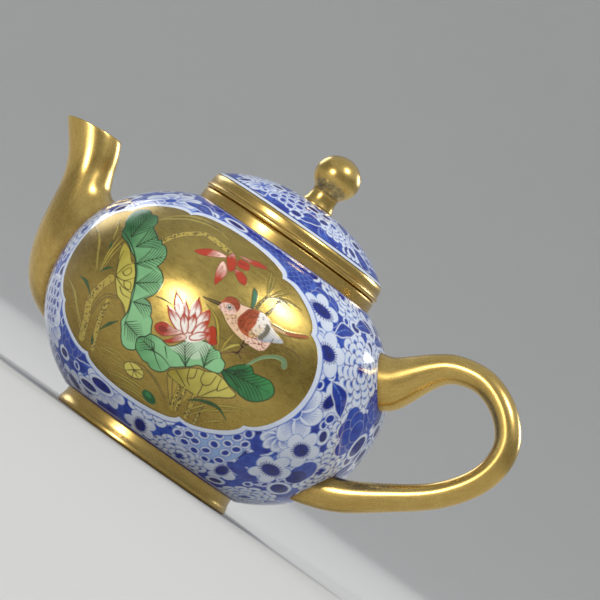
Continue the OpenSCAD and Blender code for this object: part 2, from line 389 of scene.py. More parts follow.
class Patch:
    # a part of a canvas, with its own flat coordinates in mm
    def __init__(self, canvas, cells, x, y):
        self.canvas = canvas
        self.cells = cells
        self.x = x
        self.y = y

    def local(self, x, y, turn, reach):
        # the part within reach of a point, seen from that point and turned
        dx = self.x - x
        dy = self.y - y
        near = dx * dx + dy * dy < reach * reach
        dx = dx[near]
        dy = dy[near]
        c = math.cos(math.radians(turn))
        s = math.sin(math.radians(turn))
        return Patch(self.canvas, self.cells[near], dx * c + dy * s, dy * c - dx * s)

    def lay(self, pick, cover, colour, height=0.03):
        at = self.cells[pick]
        canvas = self.canvas
        share = cover[:, None]
        canvas.colour[at] += share * (colour - canvas.colour[at])
        canvas.enamel[at] += cover * (1 - canvas.enamel[at])
        canvas.height[at] = np.maximum(canvas.height[at], cover * height)

    def within(self, line, margin):
        low = line.min(0) - margin
        high = line.max(0) + margin
        return np.flatnonzero((self.x > low[0]) & (self.x < high[0]) & (self.y > low[1]) & (self.y < high[1]))

    def stroke(self, points, width, colour, inside=None, strength=1.0, height=0.02, steps=6):
        # width is one number, or the widths at the start, middle and end
        line = smoothLine(points, steps)
        widths = np.atleast_1d(width)
        widths = np.interp(np.linspace(0, 1, len(line)), np.linspace(0, 1, len(widths)), widths)
        pick = self.within(line, widths.max() + self.canvas.pitch)
        if len(pick) == 0:
            return
        x = self.x[pick]
        y = self.y[pick]
        best = np.full(len(pick), -9.0)
        for a, b, wa, wb in zip(line[:-1], line[1:], widths[:-1], widths[1:]):
            d = b - a
            t = np.clip(((x - a[0]) * d[0] + (y - a[1]) * d[1]) / max(d @ d, 1e-9), 0, 1)
            gap = np.hypot(x - a[0] - t * d[0], y - a[1] - t * d[1])
            best = np.maximum(best, (wa + (wb - wa) * t) / 2 - gap)
        cover = np.clip(best / self.canvas.pitch + 0.5, 0, 1) * strength
        if inside is not None:
            cover = cover * inside[pick]
        self.lay(pick, cover, colour, height)

    def fill(self, points, colour, inside=None, strength=1.0, height=0.05, curved=True, steps=5):
        # fills an outline and gives back its cover. The colour may be a function of x and y
        line = smoothLine(points, steps, True) if curved else np.asarray(points, float)
        total = np.zeros(len(self.x))
        pick = self.within(line, self.canvas.pitch)
        if len(pick) == 0:
            return total
        x = self.x[pick]
        y = self.y[pick]
        odd = np.zeros(len(pick), bool)
        gap = np.full(len(pick), 9.0)
        for a, b in zip(line, np.roll(line, -1, 0)):
            d = b - a
            t = np.clip(((x - a[0]) * d[0] + (y - a[1]) * d[1]) / max(d @ d, 1e-9), 0, 1)
            gap = np.minimum(gap, np.hypot(x - a[0] - t * d[0], y - a[1] - t * d[1]))
            if a[1] != b[1]:
                crossing = (a[1] > y) != (b[1] > y)
                odd ^= crossing & (x < a[0] + d[0] * (y - a[1]) / d[1])
        cover = np.clip(np.where(odd, gap, -gap) / self.canvas.pitch + 0.5, 0, 1) * strength
        if inside is not None:
            cover = cover * inside[pick]
        self.lay(pick, cover, colour(x, y) if callable(colour) else colour, height)
        total[pick] = cover
        return total

    def outline(self, points, width, colour, inside=None, steps=5):
        line = smoothLine(points, steps, True)
        self.stroke(np.concatenate([line, line[:1]]), width, colour, inside, steps=1)

    def disc(self, x, y, wide, high, colour, turn=0, strength=1.0, height=0.03):
        c = math.cos(math.radians(turn))
        s = math.sin(math.radians(turn))
        pick = np.flatnonzero((abs(self.x - x) < wide + high) & (abs(self.y - y) < wide + high))
        dx = self.x[pick] - x
        dy = self.y[pick] - y
        far = np.hypot((dx * c + dy * s) / wide, (dy * c - dx * s) / high)
        cover = np.clip((1 - far) * min(wide, high) / self.canvas.pitch + 0.5, 0, 1) * strength
        self.lay(pick, cover, colour(dx, dy) if callable(colour) else colour, height)


def bandCover(value, low, high, soft):
    # 1 between two values and 0 outside them, with soft edges
    return np.clip((value - low) / soft + 0.5, 0, 1) * np.clip((high - value) / soft + 0.5, 0, 1)


def blended(first, second, share):
    share = np.clip(share, 0, 1)[:, None]
    return first * (1 - share) + second * share


gilding = {
    "bright": (0.7, 0.51, 0.17),
    "deep": (0.5, 0.32, 0.085),
    # dark brown for rubbed gold, also used as painted shade in creases, joints and recesses
    "wornAndShaded": (0.2, 0.115, 0.04),
    "roughness": 0.27,
}


def gildingMaterial(name, strength):
    made, start = newMaterial(name)
    flow = start.node("Attribute", {"attribute_name": "flow"}, {}, 1)
    wear = start.node("Attribute", {"attribute_name": "wear"}, {}, 2)
    place = start.node("TexCoord", {}, {}, 3)
    streak = start.noise(flow, 5.0, 4, 0.6)
    fine = start.noise(flow, 22.0, 3, 0.65)
    cloud = start.noise(place, 75.0, 3, 0.55)
    speck = start.noise(place, 900.0, 2, 0.5)
    tone = (streak * 0.6 + cloud * 0.4).spread(0.2, 0.85)
    gold = tone.mixed((*gilding["deep"], 1), (*gilding["bright"], 1))
    # painted shade as well as wear: the gold turns dark brown where that attribute is high, in creases, at
    # joints and inside the spout, broken up by noise
    rubbedAndShaded = (wear * 0.75 + (cloud - 0.5) * 0.5 + (speck - 0.5) * 0.4).spread(0.26, 0.95)
    colour = rubbedAndShaded.mixed(gold, (*gilding["wornAndShaded"], 1))
    roughness = gilding["roughness"] + (fine - 0.5) * 0.12 + (cloud - 0.5) * 0.05 + rubbedAndShaded * 0.12
    height = fine * 0.5 + streak * 0.8 + speck * 0.25
    finishMaterial(start, {"Base Color": colour, "Metallic": 1.0, "Roughness": roughness,
                           "Normal": height.bump(strength, 0.0001)})
    return made


def paintedMaterial(name, metal):
    # paint under a clear glaze, or enamel on bare gold where metal is true
    made, start = newMaterial(name)
    paint = start.node("Attribute", {"attribute_name": "paint"}, {}, 0)
    place = start.node("TexCoord", {}, {}, 3)
    if metal:
        cover = start.node("Attribute", {"attribute_name": "enamel"}, {}, 2)
        brush = start.noise(place.stretched((0.55, 1.0, 1.6)), 420.0, 4, 0.65, 0.4)
        cloud = start.noise(place, 60.0, 4, 0.6)
        speck = start.noise(place, 1500.0, 2, 0.5)
        tone = ((brush - 0.5) * 0.7 + (cloud - 0.5) * 0.8 + (speck - 0.5) * 0.35).spread(-0.6, 0.55)
        shade = tone.mixed((0.62, 0.56, 0.5, 1), (1.08, 1.06, 1.0, 1))
        worked = paint.multiplied(shade)
        colour = (cover * 0.8).mixed(worked, paint)
        metallic = 1.0 - cover.spread(0.15, 0.75)
        roughness = 0.29 + (brush - 0.5) * 0.18 + (cloud - 0.5) * 0.12 - cover * 0.1
        height = brush * 0.6 + speck * 0.3
        finishMaterial(start, {"Base Color": colour, "Metallic": metallic, "Roughness": roughness,
                               "Normal": height.bump(0.12, 0.0001)})
        return made
    pool = start.noise(place, 260.0, 4, 0.6)
    grain = start.noise(place, 1700.0, 2, 0.5)
    ripple = start.noise(place, 90.0, 2, 0.5)
    shade = ((pool - 0.5) * 0.8 + (grain - 0.5) * 0.5).spread(-0.4, 0.4)
    shade = shade.mixed((0.84, 0.87, 0.93, 1), (1.05, 1.04, 1.02, 1))
    colour = paint.multiplied(shade)
    roughness = 0.07 + ripple * 0.07
    finishMaterial(start, {"Base Color": colour, "Roughness": roughness, "IOR": 1.5,
                           "Normal": ripple.bump(0.05, 0.0004)})
    return made


def porcelainMaterial(name, glazed):
    made, start = newMaterial(name)
    place = start.node("TexCoord", {}, {}, 3)
    cloud = start.noise(place, 110.0, 4, 0.6)
    speck = start.noise(place, 1400.0, 2, 0.5)
    white = (0.8, 0.82, 0.83) if glazed else (0.84, 0.82, 0.77)
    dusk = (0.7, 0.74, 0.78) if glazed else (0.74, 0.7, 0.63)
    colour = ((cloud - 0.5) + (speck - 0.5) * 0.6).spread(-0.35, 0.25).mixed((*dusk, 1), (*white, 1))
    roughness = (0.1 if glazed else 0.55) + cloud * 0.12
    finishMaterial(start, {"Base Color": colour, "Roughness": roughness,
                           "Normal": speck.bump(0.04 if glazed else 0.2, 0.0001)})
    return made


gold = gildingMaterial("gilding", 0.07)
goldPicture = paintedMaterial("pictureEnamel", True)
blueGlaze = paintedMaterial("blueGlaze", False)
whiteGlaze = porcelainMaterial("whiteGlaze", True)
biscuit = porcelainMaterial("biscuit", False)
for node in ("body_lower", "body_upper"):
    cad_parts[node].data.materials.clear()
    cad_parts[node].data.materials.append(whiteGlaze)
print("finishes made")


def ringValues(line, columns, wornAndShaded):
    # where the brush ran round a turned piece, and where its gold is darkened, partly as rubbed wear and
    # partly as painted shade in its creases and joints: each such place is (radius, height, reach)
    angle = np.linspace(0, 2 * np.pi, columns, endpoint=False)
    along = np.concatenate([[0], np.cumsum(np.hypot(*np.diff(line, axis=0).T))])
    flow = np.stack(np.broadcast_arrays(np.sin(angle) * 0.9, np.cos(angle) * 0.9, along[:, None] * 0.5), -1)
    wear = np.zeros(len(line))
    for radius, height, reach in wornAndShaded:
        wear = np.maximum(wear, 1 - np.hypot(line[:, 0] - radius, line[:, 1] - height) / reach)
    return {"flow": ("FLOAT_VECTOR", "vector", flow.reshape(-1, 3)),
            "wear": ("FLOAT", "value", np.repeat(np.clip(wear, 0, 1), columns))}


def makeTurned(name, outline, material, bodyName, node, wornAndShaded=(), columns=288, sharp=50):
    # a closed profile, its corners eased, turned into a ring
    line = softened(outline)
    rows = len(line)
    faces = gridFaces(rows + 1, columns) % (rows * columns)
    return makePiece(name, turned(line, columns), [faces], material, bodyName, (node,),
                     ringValues(line, columns, wornAndShaded), None, sharp)


footRing = {"ease": 1.1, "wall": 5, "flare": 1}
mouthRing = {"wall": 4.7, "ease": 1.5}
lidRim = {"bead": 0.6}
flange = {"wall": 3}


def makeFoot():
    out = footHigh[0]
    top = footHigh[2]
    inner = out - footRing["flare"] - footRing["wall"]
    upper = out - footRing["flare"]
    outline = [(inner, 0, footRing["ease"]), (out, 0, footRing["ease"]), (out - 0.1, 1.6, 0.8),
               (out - 0.75, 3, 1.2), (upper, top + 0.4, 0), (inner, top + 0.4, 0)]
    makeTurned("footRing", outline, gold, "pot", "foot_ring", [(out, 0, 1.6), (upper, top, 1.0)])


def makeMouth():
    out = mouthHigh[0]
    inner = out - mouthRing["wall"]
    low = mouthLow[2]
    top = mouthHigh[2]
    outline = [(inner, low, 0), (out, low - 0.3, 0), (out, top, mouthRing["ease"]), (inner, top, 0.7)]
    makeTurned("mouthRing", outline, gold, "pot", "mouth_ring",
               [(out, low, 1.0), (inner, top, 1.0)])


def makeRim():
    out = rimHigh[0]
    band = out - lidRim["bead"]
    low = rimLow[2]
    top = rimHigh[2]
    inner = flangeHigh[0]
    outline = [(inner, low, 0), (band, low, 0.1), (out, low + 0.25, 0.3), (out, low + 1.35, 0.45),
               (band - 0.15, low + 1.75, 0.25), (band, low + 2.3, 0.3), (band - 0.15, top - 0.9, 0.8),
               (band - 0.9, top, 0.25), (inner, top, 0)]
    makeTurned("lidRim", outline, gold, "lid", "lid_rim",
               [(band, low + 1.7, 0.8), (band - 1, top, 0.7)])


def makeFlange():
    out = flangeHigh[0]
    inner = out - flange["wall"]
    low = flangeLow[2]
    top = flangeHigh[2]
    outline = [(inner, low, 0.8), (out, low, 1.2), (out, top, 0), (inner, top, 0)]
    makeTurned("lidFlange", outline, biscuit, "lid", "lid_flange")


knob = {"neck": 4.8, "foot": 5.8, "ballHeight": 15.2}


def makeKnob():
    radius = knobHigh[0]
    low = knobLow[2]
    top = knobHigh[2]
    middle = top - knob["ballHeight"] / 2
    start = -math.acos((knob["neck"] + 0.35) / radius)
    line = [(knob["foot"], low), (knob["foot"], low + 0.5)]
    neck = [(knob["foot"] - 0.35, low + 1.1), (knob["neck"] + 0.25, low + 2.4), (knob["neck"], low + 4.2),
            (knob["neck"] + 0.2, low + 5.6)]
    line += neck
    ball = []
    for angle in np.linspace(start + 0.12, math.pi / 2 - 0.02, 40):
        ball.append((radius * math.cos(angle), middle + knob["ballHeight"] / 2 * math.sin(angle)))
    line = np.concatenate([np.array(line[:2]), smoothLine(line[2:] + ball[:3], 8), np.array(ball[3:])])
    columns = 160
    faces = gridFaces(len(line), columns)
    caps = [np.arange(columns)[None, ::-1], np.arange(columns)[None] + (len(line) - 1) * columns]
    values = ringValues(line, columns, [(knob["foot"], low, 1.2), (knob["neck"], low + 5.4, 1.2)])
    makePiece("lidKnob", turned(line, columns), [faces, *caps], gold, "lid", ("knob",), values,
              None, 60)


makeFoot()
makeMouth()
makeRim()
makeFlange()
makeKnob()
print("rings and knob made")


spout = {"rootWidth": 36, "lipWidth": 17, "out": 31, "rise": 36, "crown": 4, "wall": 2.8, "lipDepth": 10.4,
         "rootDepth": 24, "between": 4, "lipRound": 0.06, "sides": 112, "steps": 130}
handle = {"thick": 8.9, "wide": 9.8, "inside": 0.15, "sides": 80, "steps": 260}


def blendRows(rows, s):
    # a smooth curve through the rows of numbers
    last = len(rows) - 1
    i = np.minimum(np.floor(s).astype(int), last - 1)
    t = (s - i)[..., None]
    a = rows[np.maximum(i - 1, 0)]
    b = rows[i]
    c = rows[i + 1]
    d = rows[np.minimum(i + 2, last)]
    return 0.5 * (2 * b + (c - a) * t + (2 * a - 5 * b + 4 * c - d) * t**2 + (3 * b - a - 3 * c + d) * t**3)


def eased(rows, columns, passes):
    # evens out some of the rows' numbers along the tube, its two ends kept
    rows = rows.copy()
    for _ in range(passes):
        part = rows[:, columns]
        part[1:-1] = part[:-2] * 0.25 + part[1:-1] * 0.5 + part[2:] * 0.25
        rows[:, columns] = part
    return rows


def tubePoints(rows, s, angle, inset=0.0):
    # a row is x, z, half depth, half width, lean in degrees and crown
    row = blendRows(rows, s)
    deep = (row[..., 2] - inset) * np.cos(angle)
    wide = (row[..., 3] - inset) * np.sin(angle)
    lean = np.radians(row[..., 4])
    height = row[..., 1] + deep * np.sin(lean) + row[..., 5] * (0.5 - 0.5 * np.cos(angle)) ** 0.6
    return np.stack([row[..., 0] + deep * np.cos(lean), wide, height], -1)


def leavesBody(rows, angle, inset, first, last, sunk=0.12):
    # how far along its rows each side of a tube comes out of the body's wall, between two stations
    s = np.linspace(first, last, 400)[:, None] * np.ones(len(angle))
    p = tubePoints(rows, s, angle, inset)
    depth = ovalRadius(p[..., 2], -sunk) - np.hypot(p[..., 0], p[..., 1])
    inside = depth > 0
    i = len(s) - 1 - np.argmax(inside[::-1], 0)
    i = np.minimum(i, len(s) - 2)
    k = np.arange(len(angle))
    share = depth[i, k] / (depth[i, k] - depth[i + 1, k])
    return s[i, k] + share * (s[i + 1, k] - s[i, k])


def spoutRows():
    half = spout["rootWidth"] / 2
    lip = spout["lipWidth"] / 2
    deep = spout["rootDepth"]
    edge = -body["radius"]
    middle = body["middle"]

    def row(out, up, depth, width, lean, crown=0):
        return [edge - out * spout["out"], middle + up * spout["rise"], depth, width, lean, crown]

    rows = np.array([
        [edge + 11, middle - 3, deep, half + 1, -92, 0],
        [edge + 2, middle - 1, deep * 0.95, half, -99, 0],
        row(0.15, 0.08, deep * 0.78, half - 2.6, -105),
        row(0.285, 0.27, deep * 0.6, half - 5.4, -114),
        row(0.35, 0.485, deep * 0.45, half - 7.6, -124),
        row(0.4, 0.655, spout["lipDepth"] * 0.84, lip + 0.4, -137),
        row(0.49, 0.82, spout["lipDepth"] * 0.77, lip - 0.2, -158, 1.6),
        row(1 - spout["lipDepth"] / spout["out"], 0.985, spout["lipDepth"], lip, -182, spout["crown"]),
    ])
    rows = blendRows(rows, np.arange(0, len(rows) - 0.875, 1 / spout["between"]))
    return eased(eased(rows, [2, 3, 4], 10), [0, 1], 4)


def makeSpout():
    rows = spoutRows()
    angle = np.linspace(0, 2 * np.pi, spout["sides"], endpoint=False)
    last = len(rows) - 1
    share = np.linspace(0, 1, spout["steps"])[:, None]
    between = spout["between"]
    outerStart = leavesBody(rows, angle, 0.0, 0, 4 * between)
    innerStart = leavesBody(rows, angle, spout["wall"], 0, 4 * between)
    lipRound = spout["lipRound"] * between
    lipStart = last - lipRound
    s = outerStart + (lipStart - outerStart) * share
    outer = tubePoints(rows, s, angle)
    lip = []
    for turn in np.radians([15, 35, 55, 75, 90, 105, 125, 145, 165]):
        inset = spout["wall"] / 2 * (1 - math.cos(turn))
        along = lipStart + lipRound * math.sin(turn) ** 0.7
        lip.append(tubePoints(rows, np.full(len(angle), along), angle, inset))
    back = np.linspace(1, 0, spout["steps"] // 2)[:, None]
    inner = tubePoints(rows, innerStart + (lipStart - innerStart) * back, angle, spout["wall"])
    points = np.concatenate([outer, np.array(lip), inner])
    count = len(points)
    faces = gridFaces(count + 1, spout["sides"]) % (count * spout["sides"])
    depth = np.hypot(outer[..., 0], outer[..., 1]) - ovalRadius(outer[..., 2])
    # painted shade and wear: the gold darkens within 5 mm of the body where the spout joins it, a little on
    # the lip and more inside the spout
    wear = np.clip(1 - depth / 5, 0, 1) * 0.9
    wear = np.concatenate([wear, np.full((len(lip), len(angle)), 0.35), np.zeros(inner.shape[:2]) + 0.7])
    along = np.concatenate([s, np.full((len(lip), len(angle)), last),
                            innerStart + (last - innerStart) * back])
    flow = np.stack(np.broadcast_arrays(np.cos(angle) * 2.2, np.sin(angle) * 2.2, along * 0.5 / between), -1)
    values = {"flow": ("FLOAT_VECTOR", "vector", flow), "wear": ("FLOAT", "value", wear)}
    makePiece("spoutPipe", points.reshape(-1, 3), [faces[:, ::-1]], gold, "pot", ("spout",),
              values, None, 60)


def handleRows():
    thick = handle["thick"] / 2
    wide = handle["wide"] / 2
    edge = body["radius"]
    back = corners("handle")[1][0] - thick - handle["inside"]
    top = corners("handle")[1][2] - thick
    middle = body["middle"]
    tall = body["halfHeight"]
    line = np.array([
        [edge - 11, middle + 0.46 * tall, 10.5, wide + 4.5],
        [edge - 3.5, middle + 0.54 * tall, 9.8, wide + 3.6],
        [edge + 2.5, middle + 0.705 * tall, 6, wide + 1.4],
        [edge + 10, top - 2.6, thick + 0.2, wide],
        [edge + 21.5, top, thick, wide],
        [back - 9, top - 4, thick, wide],
        [back - 1.5, top - 12, thick, wide],
        [back, top - 21.5, thick, wide],
        [back - 3.4, middle + 0.24 * tall, thick, wide],
        [back - 11.5, middle + 0.025 * tall, thick, wide],
        [back - 23.5, middle - 0.17 * tall, thick, wide],
        [edge + 5.5, middle - 0.345 * tall, thick + 1.2, wide + 0.4],
        [edge - 4, middle - 0.43 * tall, thick + 2.2, wide + 0.8],
        [edge - 13, middle - 0.495 * tall, thick + 1, wide],
    ])
    last = len(line) - 1
    s = np.arange(0, last + 0.25, 0.5)
    rows = blendRows(line, s)
    ahead = blendRows(line, np.minimum(s + 0.05, last)) - blendRows(line, np.maximum(s - 0.05, 0))
    lean = np.degrees(np.unwrap(np.arctan2(ahead[:, 1], ahead[:, 0]))) + 90
    return eased(np.column_stack([rows, lean, np.zeros(len(rows))]), [2, 3, 4], 5)


def makeHandle():
    rows = handleRows()
    angle = np.linspace(0, 2 * np.pi, handle["sides"], endpoint=False)
    last = len(rows) - 1
    first = leavesBody(rows, angle, 0.0, 0, last / 2)
    end = last - leavesBody(rows[::-1], angle, 0.0, 0, last / 2)
    share = np.linspace(0, 1, handle["steps"])[:, None]
    s = first + (end - first) * share
    points = tubePoints(rows, s, angle)
    depth = np.hypot(points[..., 0], points[..., 1]) - ovalRadius(points[..., 2])
    # painted shade and wear: the gold darkens within 4.5 mm of the body where the handle joins it
    wear = np.clip(1 - depth / 4.5, 0, 1) * 0.85
    flow = np.stack(np.broadcast_arrays(np.cos(angle) * 2.2, np.sin(angle) * 2.2, s * 0.35), -1)
    ends = np.array([points[0].mean(0), points[-1].mean(0)])
    for hub in ends:
        hub[:2] *= (ovalRadius(hub[2]) - 0.6) / np.hypot(*hub[:2])
    values = {"flow": ("FLOAT_VECTOR", "vector", np.concatenate([flow.reshape(-1, 3), np.zeros((2, 3))])),
              "wear": ("FLOAT", "value", np.concatenate([wear.ravel(), [1, 1]]))}
    sides = handle["sides"]
    count = handle["steps"] * sides
    k = np.arange(sides)
    n = (k + 1) % sides
    fans = [np.stack([n, k, np.full(sides, count)], -1),
            np.stack([count - sides + k, count - sides + n, np.full(sides, count + 1)], -1)]
    faces = [gridFaces(handle["steps"], sides), *fans]
    faces = [f[:, ::-1] for f in faces]
    makePiece("handleBar", np.concatenate([points.reshape(-1, 3), ends]), faces, gold, "pot",
              ("handle",), values, None, 60)


makeSpout()
makeHandle()
print("spout and handle made")


# the blue ground: motifs are drawn in their own flat coordinates, with y up the pot
blues = {
    "deep": tint(14, 36, 140),
    "dark": tint(9, 22, 92),
    "mid": tint(52, 90, 188),
    "soft": tint(98, 136, 208),
    "pale": tint(150, 178, 222),
    "white": tint(212, 220, 234),
}


def cobalt(x, y, seed=0, light=0.0):
    # brushed cobalt, which pools darker in places
    share = 0.5 + 0.45 * wash(x, y, 3.2, seed) + light
    return blended(blues["deep"], blues["mid"], share * 0.55)


def darkCobalt(x, y):
    return blended(blues["dark"], blues["deep"], 0.5 + 0.5 * wash(x, y, 2.2, 4))


def podFlower(patch, reach, seed):
    # a round field of ringed dots with scalloped edges
    rng = np.random.default_rng(seed)
    patch.disc(0, 0, reach, reach * 0.92, blues["white"], 0, 0.9)
    pitch = 3.5
    for row in range(-5, 6):
        for column in range(-5, 6):
            x = (column + 0.5 * (row % 2)) * pitch + rng.normal(0, 0.12)
            y = row * pitch * 0.87 + rng.normal(0, 0.12)
            if math.hypot(x, y) > reach - 0.9:
                continue
            ringedDot(patch, x, y, rng.uniform(1.0, 1.3), rng)


def ringedDot(patch, x, y, size, rng):
    patch.disc(x, y, size + 0.85, size + 0.8, blues["mid"])
    patch.disc(x, y, size + 0.62, size + 0.58, blues["white"])
    turn = rng.uniform(0, 180)
    patch.disc(x, y, size * 1.1, size * 0.88, lambda dx, dy: cobalt(dx * 3, dy * 3, x, -0.1), turn)


def fanFlower(patch, reach, turn=0, opening=360):
    # scalloped petals with fine lines running out from a blue eye
    petals = max(5, int(opening / 42))
    for k in range(petals):
        a = math.radians(turn + (k + 0.5) * opening / petals - opening / 2)
        x = math.cos(a) * reach * 0.6
        y = math.sin(a) * reach * 0.6
        patch.disc(x, y, reach * 0.46, reach * 0.35, blues["mid"], math.degrees(a))
        patch.disc(x, y, reach * 0.435, reach * 0.325, blues["white"], math.degrees(a))
        for j in range(7):
            b = a + math.radians((j - 3) * opening / petals / 7.5)
            end = reach * (0.84 - 0.05 * abs(j - 3))
            patch.stroke([(math.cos(b) * reach * 0.2, math.sin(b) * reach * 0.2),
                          (math.cos(b) * end, math.sin(b) * end)], (0.42, 0.3, 0.12), blues["mid"], None, 0.8)
    patch.disc(0, 0, reach * 0.24, reach * 0.24, blues["white"])
    patch.disc(0, 0, reach * 0.2, reach * 0.2, lambda x, y: cobalt(x, y, 2, 0.7))


def peony(patch, reach, seed):
    # rings of small cupped petals, the inner ones over the outer ones
    rng = np.random.default_rng(seed)
    patch.disc(0, 0, reach * 0.9, reach * 0.9, blues["pale"])
    for ring, count in ((0.86, 13), (0.64, 10), (0.42, 7), (0.2, 4)):
        offset = rng.uniform(0, 1)
        for k in range(count):
            a = 2 * math.pi * (k + offset) / count
            x = math.cos(a) * reach * ring
            y = math.sin(a) * reach * ring
            size = reach * 0.21
            petal = patch.local(x, y, math.degrees(a) - 90, size * 1.5)
            petal.disc(0, 0, size * 1.12, size * 0.86, blues["deep"], 0, 0.85)
            petal.disc(0, size * 0.06, size * 0.98, size * 0.74, blues["white"])
            petal.disc(0, -size * 0.3, size * 0.5, size * 0.36, blues["soft"], 0, 0.9)
            petal.disc(rng.normal(0, 0.1), -size * 0.36, size * 0.3, size * 0.2, blues["deep"], 0, 0.8)
    patch.disc(0, 0, reach * 0.13, reach * 0.1, blues["deep"])


def thistle(patch, reach, wide=1.0, turn=0):
    # a dark oval fringed with dashes, on five white petals
    for k in range(5):
        a = math.radians(72 * k + 20 + turn)
        x = math.cos(a) * reach * 1.05
        y = math.sin(a) * reach * 0.95
        patch.disc(x, y, reach * 0.72, reach * 0.66, blues["soft"], 72 * k + turn, 0.9)
        patch.disc(x, y, reach * 0.66, reach * 0.6, blues["white"], 72 * k + turn)
    patch.disc(0, 0, reach * 1.0, reach * 0.95, blues["white"])
    rng = np.random.default_rng(int(reach * 100) + int(turn))
    c = math.cos(math.radians(turn))
    s = math.sin(math.radians(turn))
    for k in range(24):
        a = 2 * math.pi * k / 24
        x = math.cos(a) * reach * 0.85 * wide
        y = math.sin(a) * reach * 0.66
        end = rng.uniform(0.98, 1.1)
        start = (x * 0.4 * c - y * 0.4 * s, x * 0.4 * s + y * 0.4 * c)
        patch.stroke([start, (end * (x * c - y * s), end * (x * s + y * c))], (0.5, 0.34), blues["deep"])
    patch.disc(0, 0, reach * 0.68 * wide, reach * 0.53, darkCobalt, turn)


def blueLeaf(patch, length, width, bend=0.12):
    # a pointed leaf along x with a pale midrib and side veins
    h = length / 2
    w = width / 2
    up = bend * length
    shape = [(-h, 0), (-h, 0), (-h * 0.5, w * 0.75 + up * 0.5), (0, w + up), (h * 0.55, w * 0.6 + up * 0.6),
             (h, 0), (h, 0), (h * 0.5, -w * 0.75 + up * 0.5), (0, -w + up), (-h * 0.5, -w * 0.7 + up * 0.4)]
    patch.outline(shape, 1.1, blues["white"])
    cover = patch.fill(shape, lambda x, y: cobalt(x, y, length))
    rib = [(-h, 0), (0, up), (h * 0.9, 0)]
    patch.stroke(rib, (0.4, 0.35, 0.15), blues["soft"], cover)
    for share in (-0.55, -0.2, 0.15, 0.5):
        x = share * h
        y = up * (1 - share * share)
        for side in (-1, 1):
            patch.stroke([(x, y), (x + h * 0.3, y + side * w * 0.75)], (0.3, 0.14), blues["dark"], cover, 0.8)
    patch.outline(shape, 0.25, blues["deep"], None)


def darkOval(patch, wide, high, turn=0):
    patch.disc(0, 0, wide + 1.5, high + 1.4, blues["mid"], turn)
    patch.disc(0, 0, wide + 1.25, high + 1.15, blues["white"], turn)
    patch.disc(0, 0, wide, high, darkCobalt, turn)


def curl(patch, reach, rng):
    # a thin tendril with a dot at its end
    a = rng.uniform(0, 2 * math.pi)
    points = []
    for k in range(6):
        r = reach * (1 - k / 7)
        points.append((r * math.cos(a + k * 0.75), r * math.sin(a + k * 0.75)))
    patch.stroke(points, (0.22, 0.34, 0.2), blues["mid"], None, 0.9)
    patch.disc(*points[-1], 0.55, 0.5, blues["deep"])


def cloudFlower(patch, reach, seed):
    # mid blue overlapping round petals, each edged darker
    rng = np.random.default_rng(seed)
    for k in range(9):
        a = k * 2.4
        r = reach * 0.72 * math.sqrt((9 - k) / 9)
        petal = patch.local(r * math.cos(a), r * math.sin(a), math.degrees(a) - 90, reach * 0.7)
        size = reach * rng.uniform(0.34, 0.42)
        petal.disc(0, 0, size * 1.1, size * 0.98, blues["white"], 0, 0.55)
        petal.disc(0, 0, size * 1.04, size * 0.92, blues["deep"])
        petal.disc(0, 0, size * 0.96, size * 0.84, lambda x, y: cobalt(x * 0.6, y * 0.6, k, 0.35))
        for j in (-1, 0, 1):
            petal.stroke([(0, -size * 0.6), (j * size * 0.45, size * 0.5)], (0.3, 0.12), blues["deep"],
                         None, 0.6)


def scales(patch, low, high, left, right, size=2.6):
    # rows of small overlapping scales on deep blue
    box = [(left, low), (right, low), (right, high), (left, high)]
    patch.fill(box, lambda x, y: cobalt(x, y, 3, -0.1), None, 0.95, 0.03, False)
    for j in range(int((high - low) / size / 0.7)):
        for i in range(int((right - left) / size) + 1):
            x = left + (i + 0.5 * (j % 2)) * size
            y = low + j * size * 0.7
            if x > right:
                continue
            turns = np.linspace(0.2, 2.94, 6)
            arc = [(x + size / 2 * math.cos(a), y + size * 0.55 * math.sin(a)) for a in turns]
            patch.stroke(arc, 0.26, blues["soft"], None, 0.75, steps=2)


ground = {"rows": 330, "columns": 1200, "proud": 0.06, "deep": -1.1, "innerRows": 14, "seed": 11,
          "meanRadius": 58, "strokes": 1500}


class BodyPaint:
    # the canvas of the body, with places given as degrees from the front towards +X and a height
    def __init__(self):
        self.radius, self.height, self.arc = self.profile()
        angle = np.arange(ground["columns"]) * 360 / ground["columns"]
        self.angle = np.tile(angle, ground["rows"])
        self.pitch = self.arc[1]
        self.canvas = Canvas(len(self.angle), self.pitch, blues["pale"], 1)
        self.rowArc = np.repeat(self.arc, ground["columns"])
        self.rowHeight = np.repeat(self.height, ground["columns"])
        self.rowRadius = np.repeat(self.radius, ground["columns"])

    def profile(self):
        z = np.linspace(body["bottom"], body["top"], 3000)
        r = ovalRadius(z, ground["proud"])
        arc = np.concatenate([[0], np.cumsum(np.hypot(np.diff(r), np.diff(z)))])
        even = np.linspace(0, arc[-1], ground["rows"])
        return np.interp(even, arc, r), np.interp(even, arc, z), even

    def at(self, angle, height, reach, turn=0):
        # a patch with its middle at that place
        arc = np.interp(height, self.height, self.arc)
        rows = np.flatnonzero(abs(self.arc - arc) < reach)
        radius = np.interp(height, self.height, self.radius)
        wide = math.degrees(reach / max(radius, 1)) * 1.25
        away = (np.arange(ground["columns"]) * 360 / ground["columns"] - angle + 180) % 360 - 180
        columns = np.flatnonzero(abs(away) < wide)
        cells = (rows[:, None] * ground["columns"] + columns).ravel()
        x = np.radians((self.angle[cells] - angle + 180) % 360 - 180) * (radius + self.rowRadius[cells]) / 2
        y = self.rowArc[cells] - arc
        c = math.cos(math.radians(turn))
        s = math.sin(math.radians(turn))
        return Patch(self.canvas, cells, x * c + y * s, y * c - x * s)


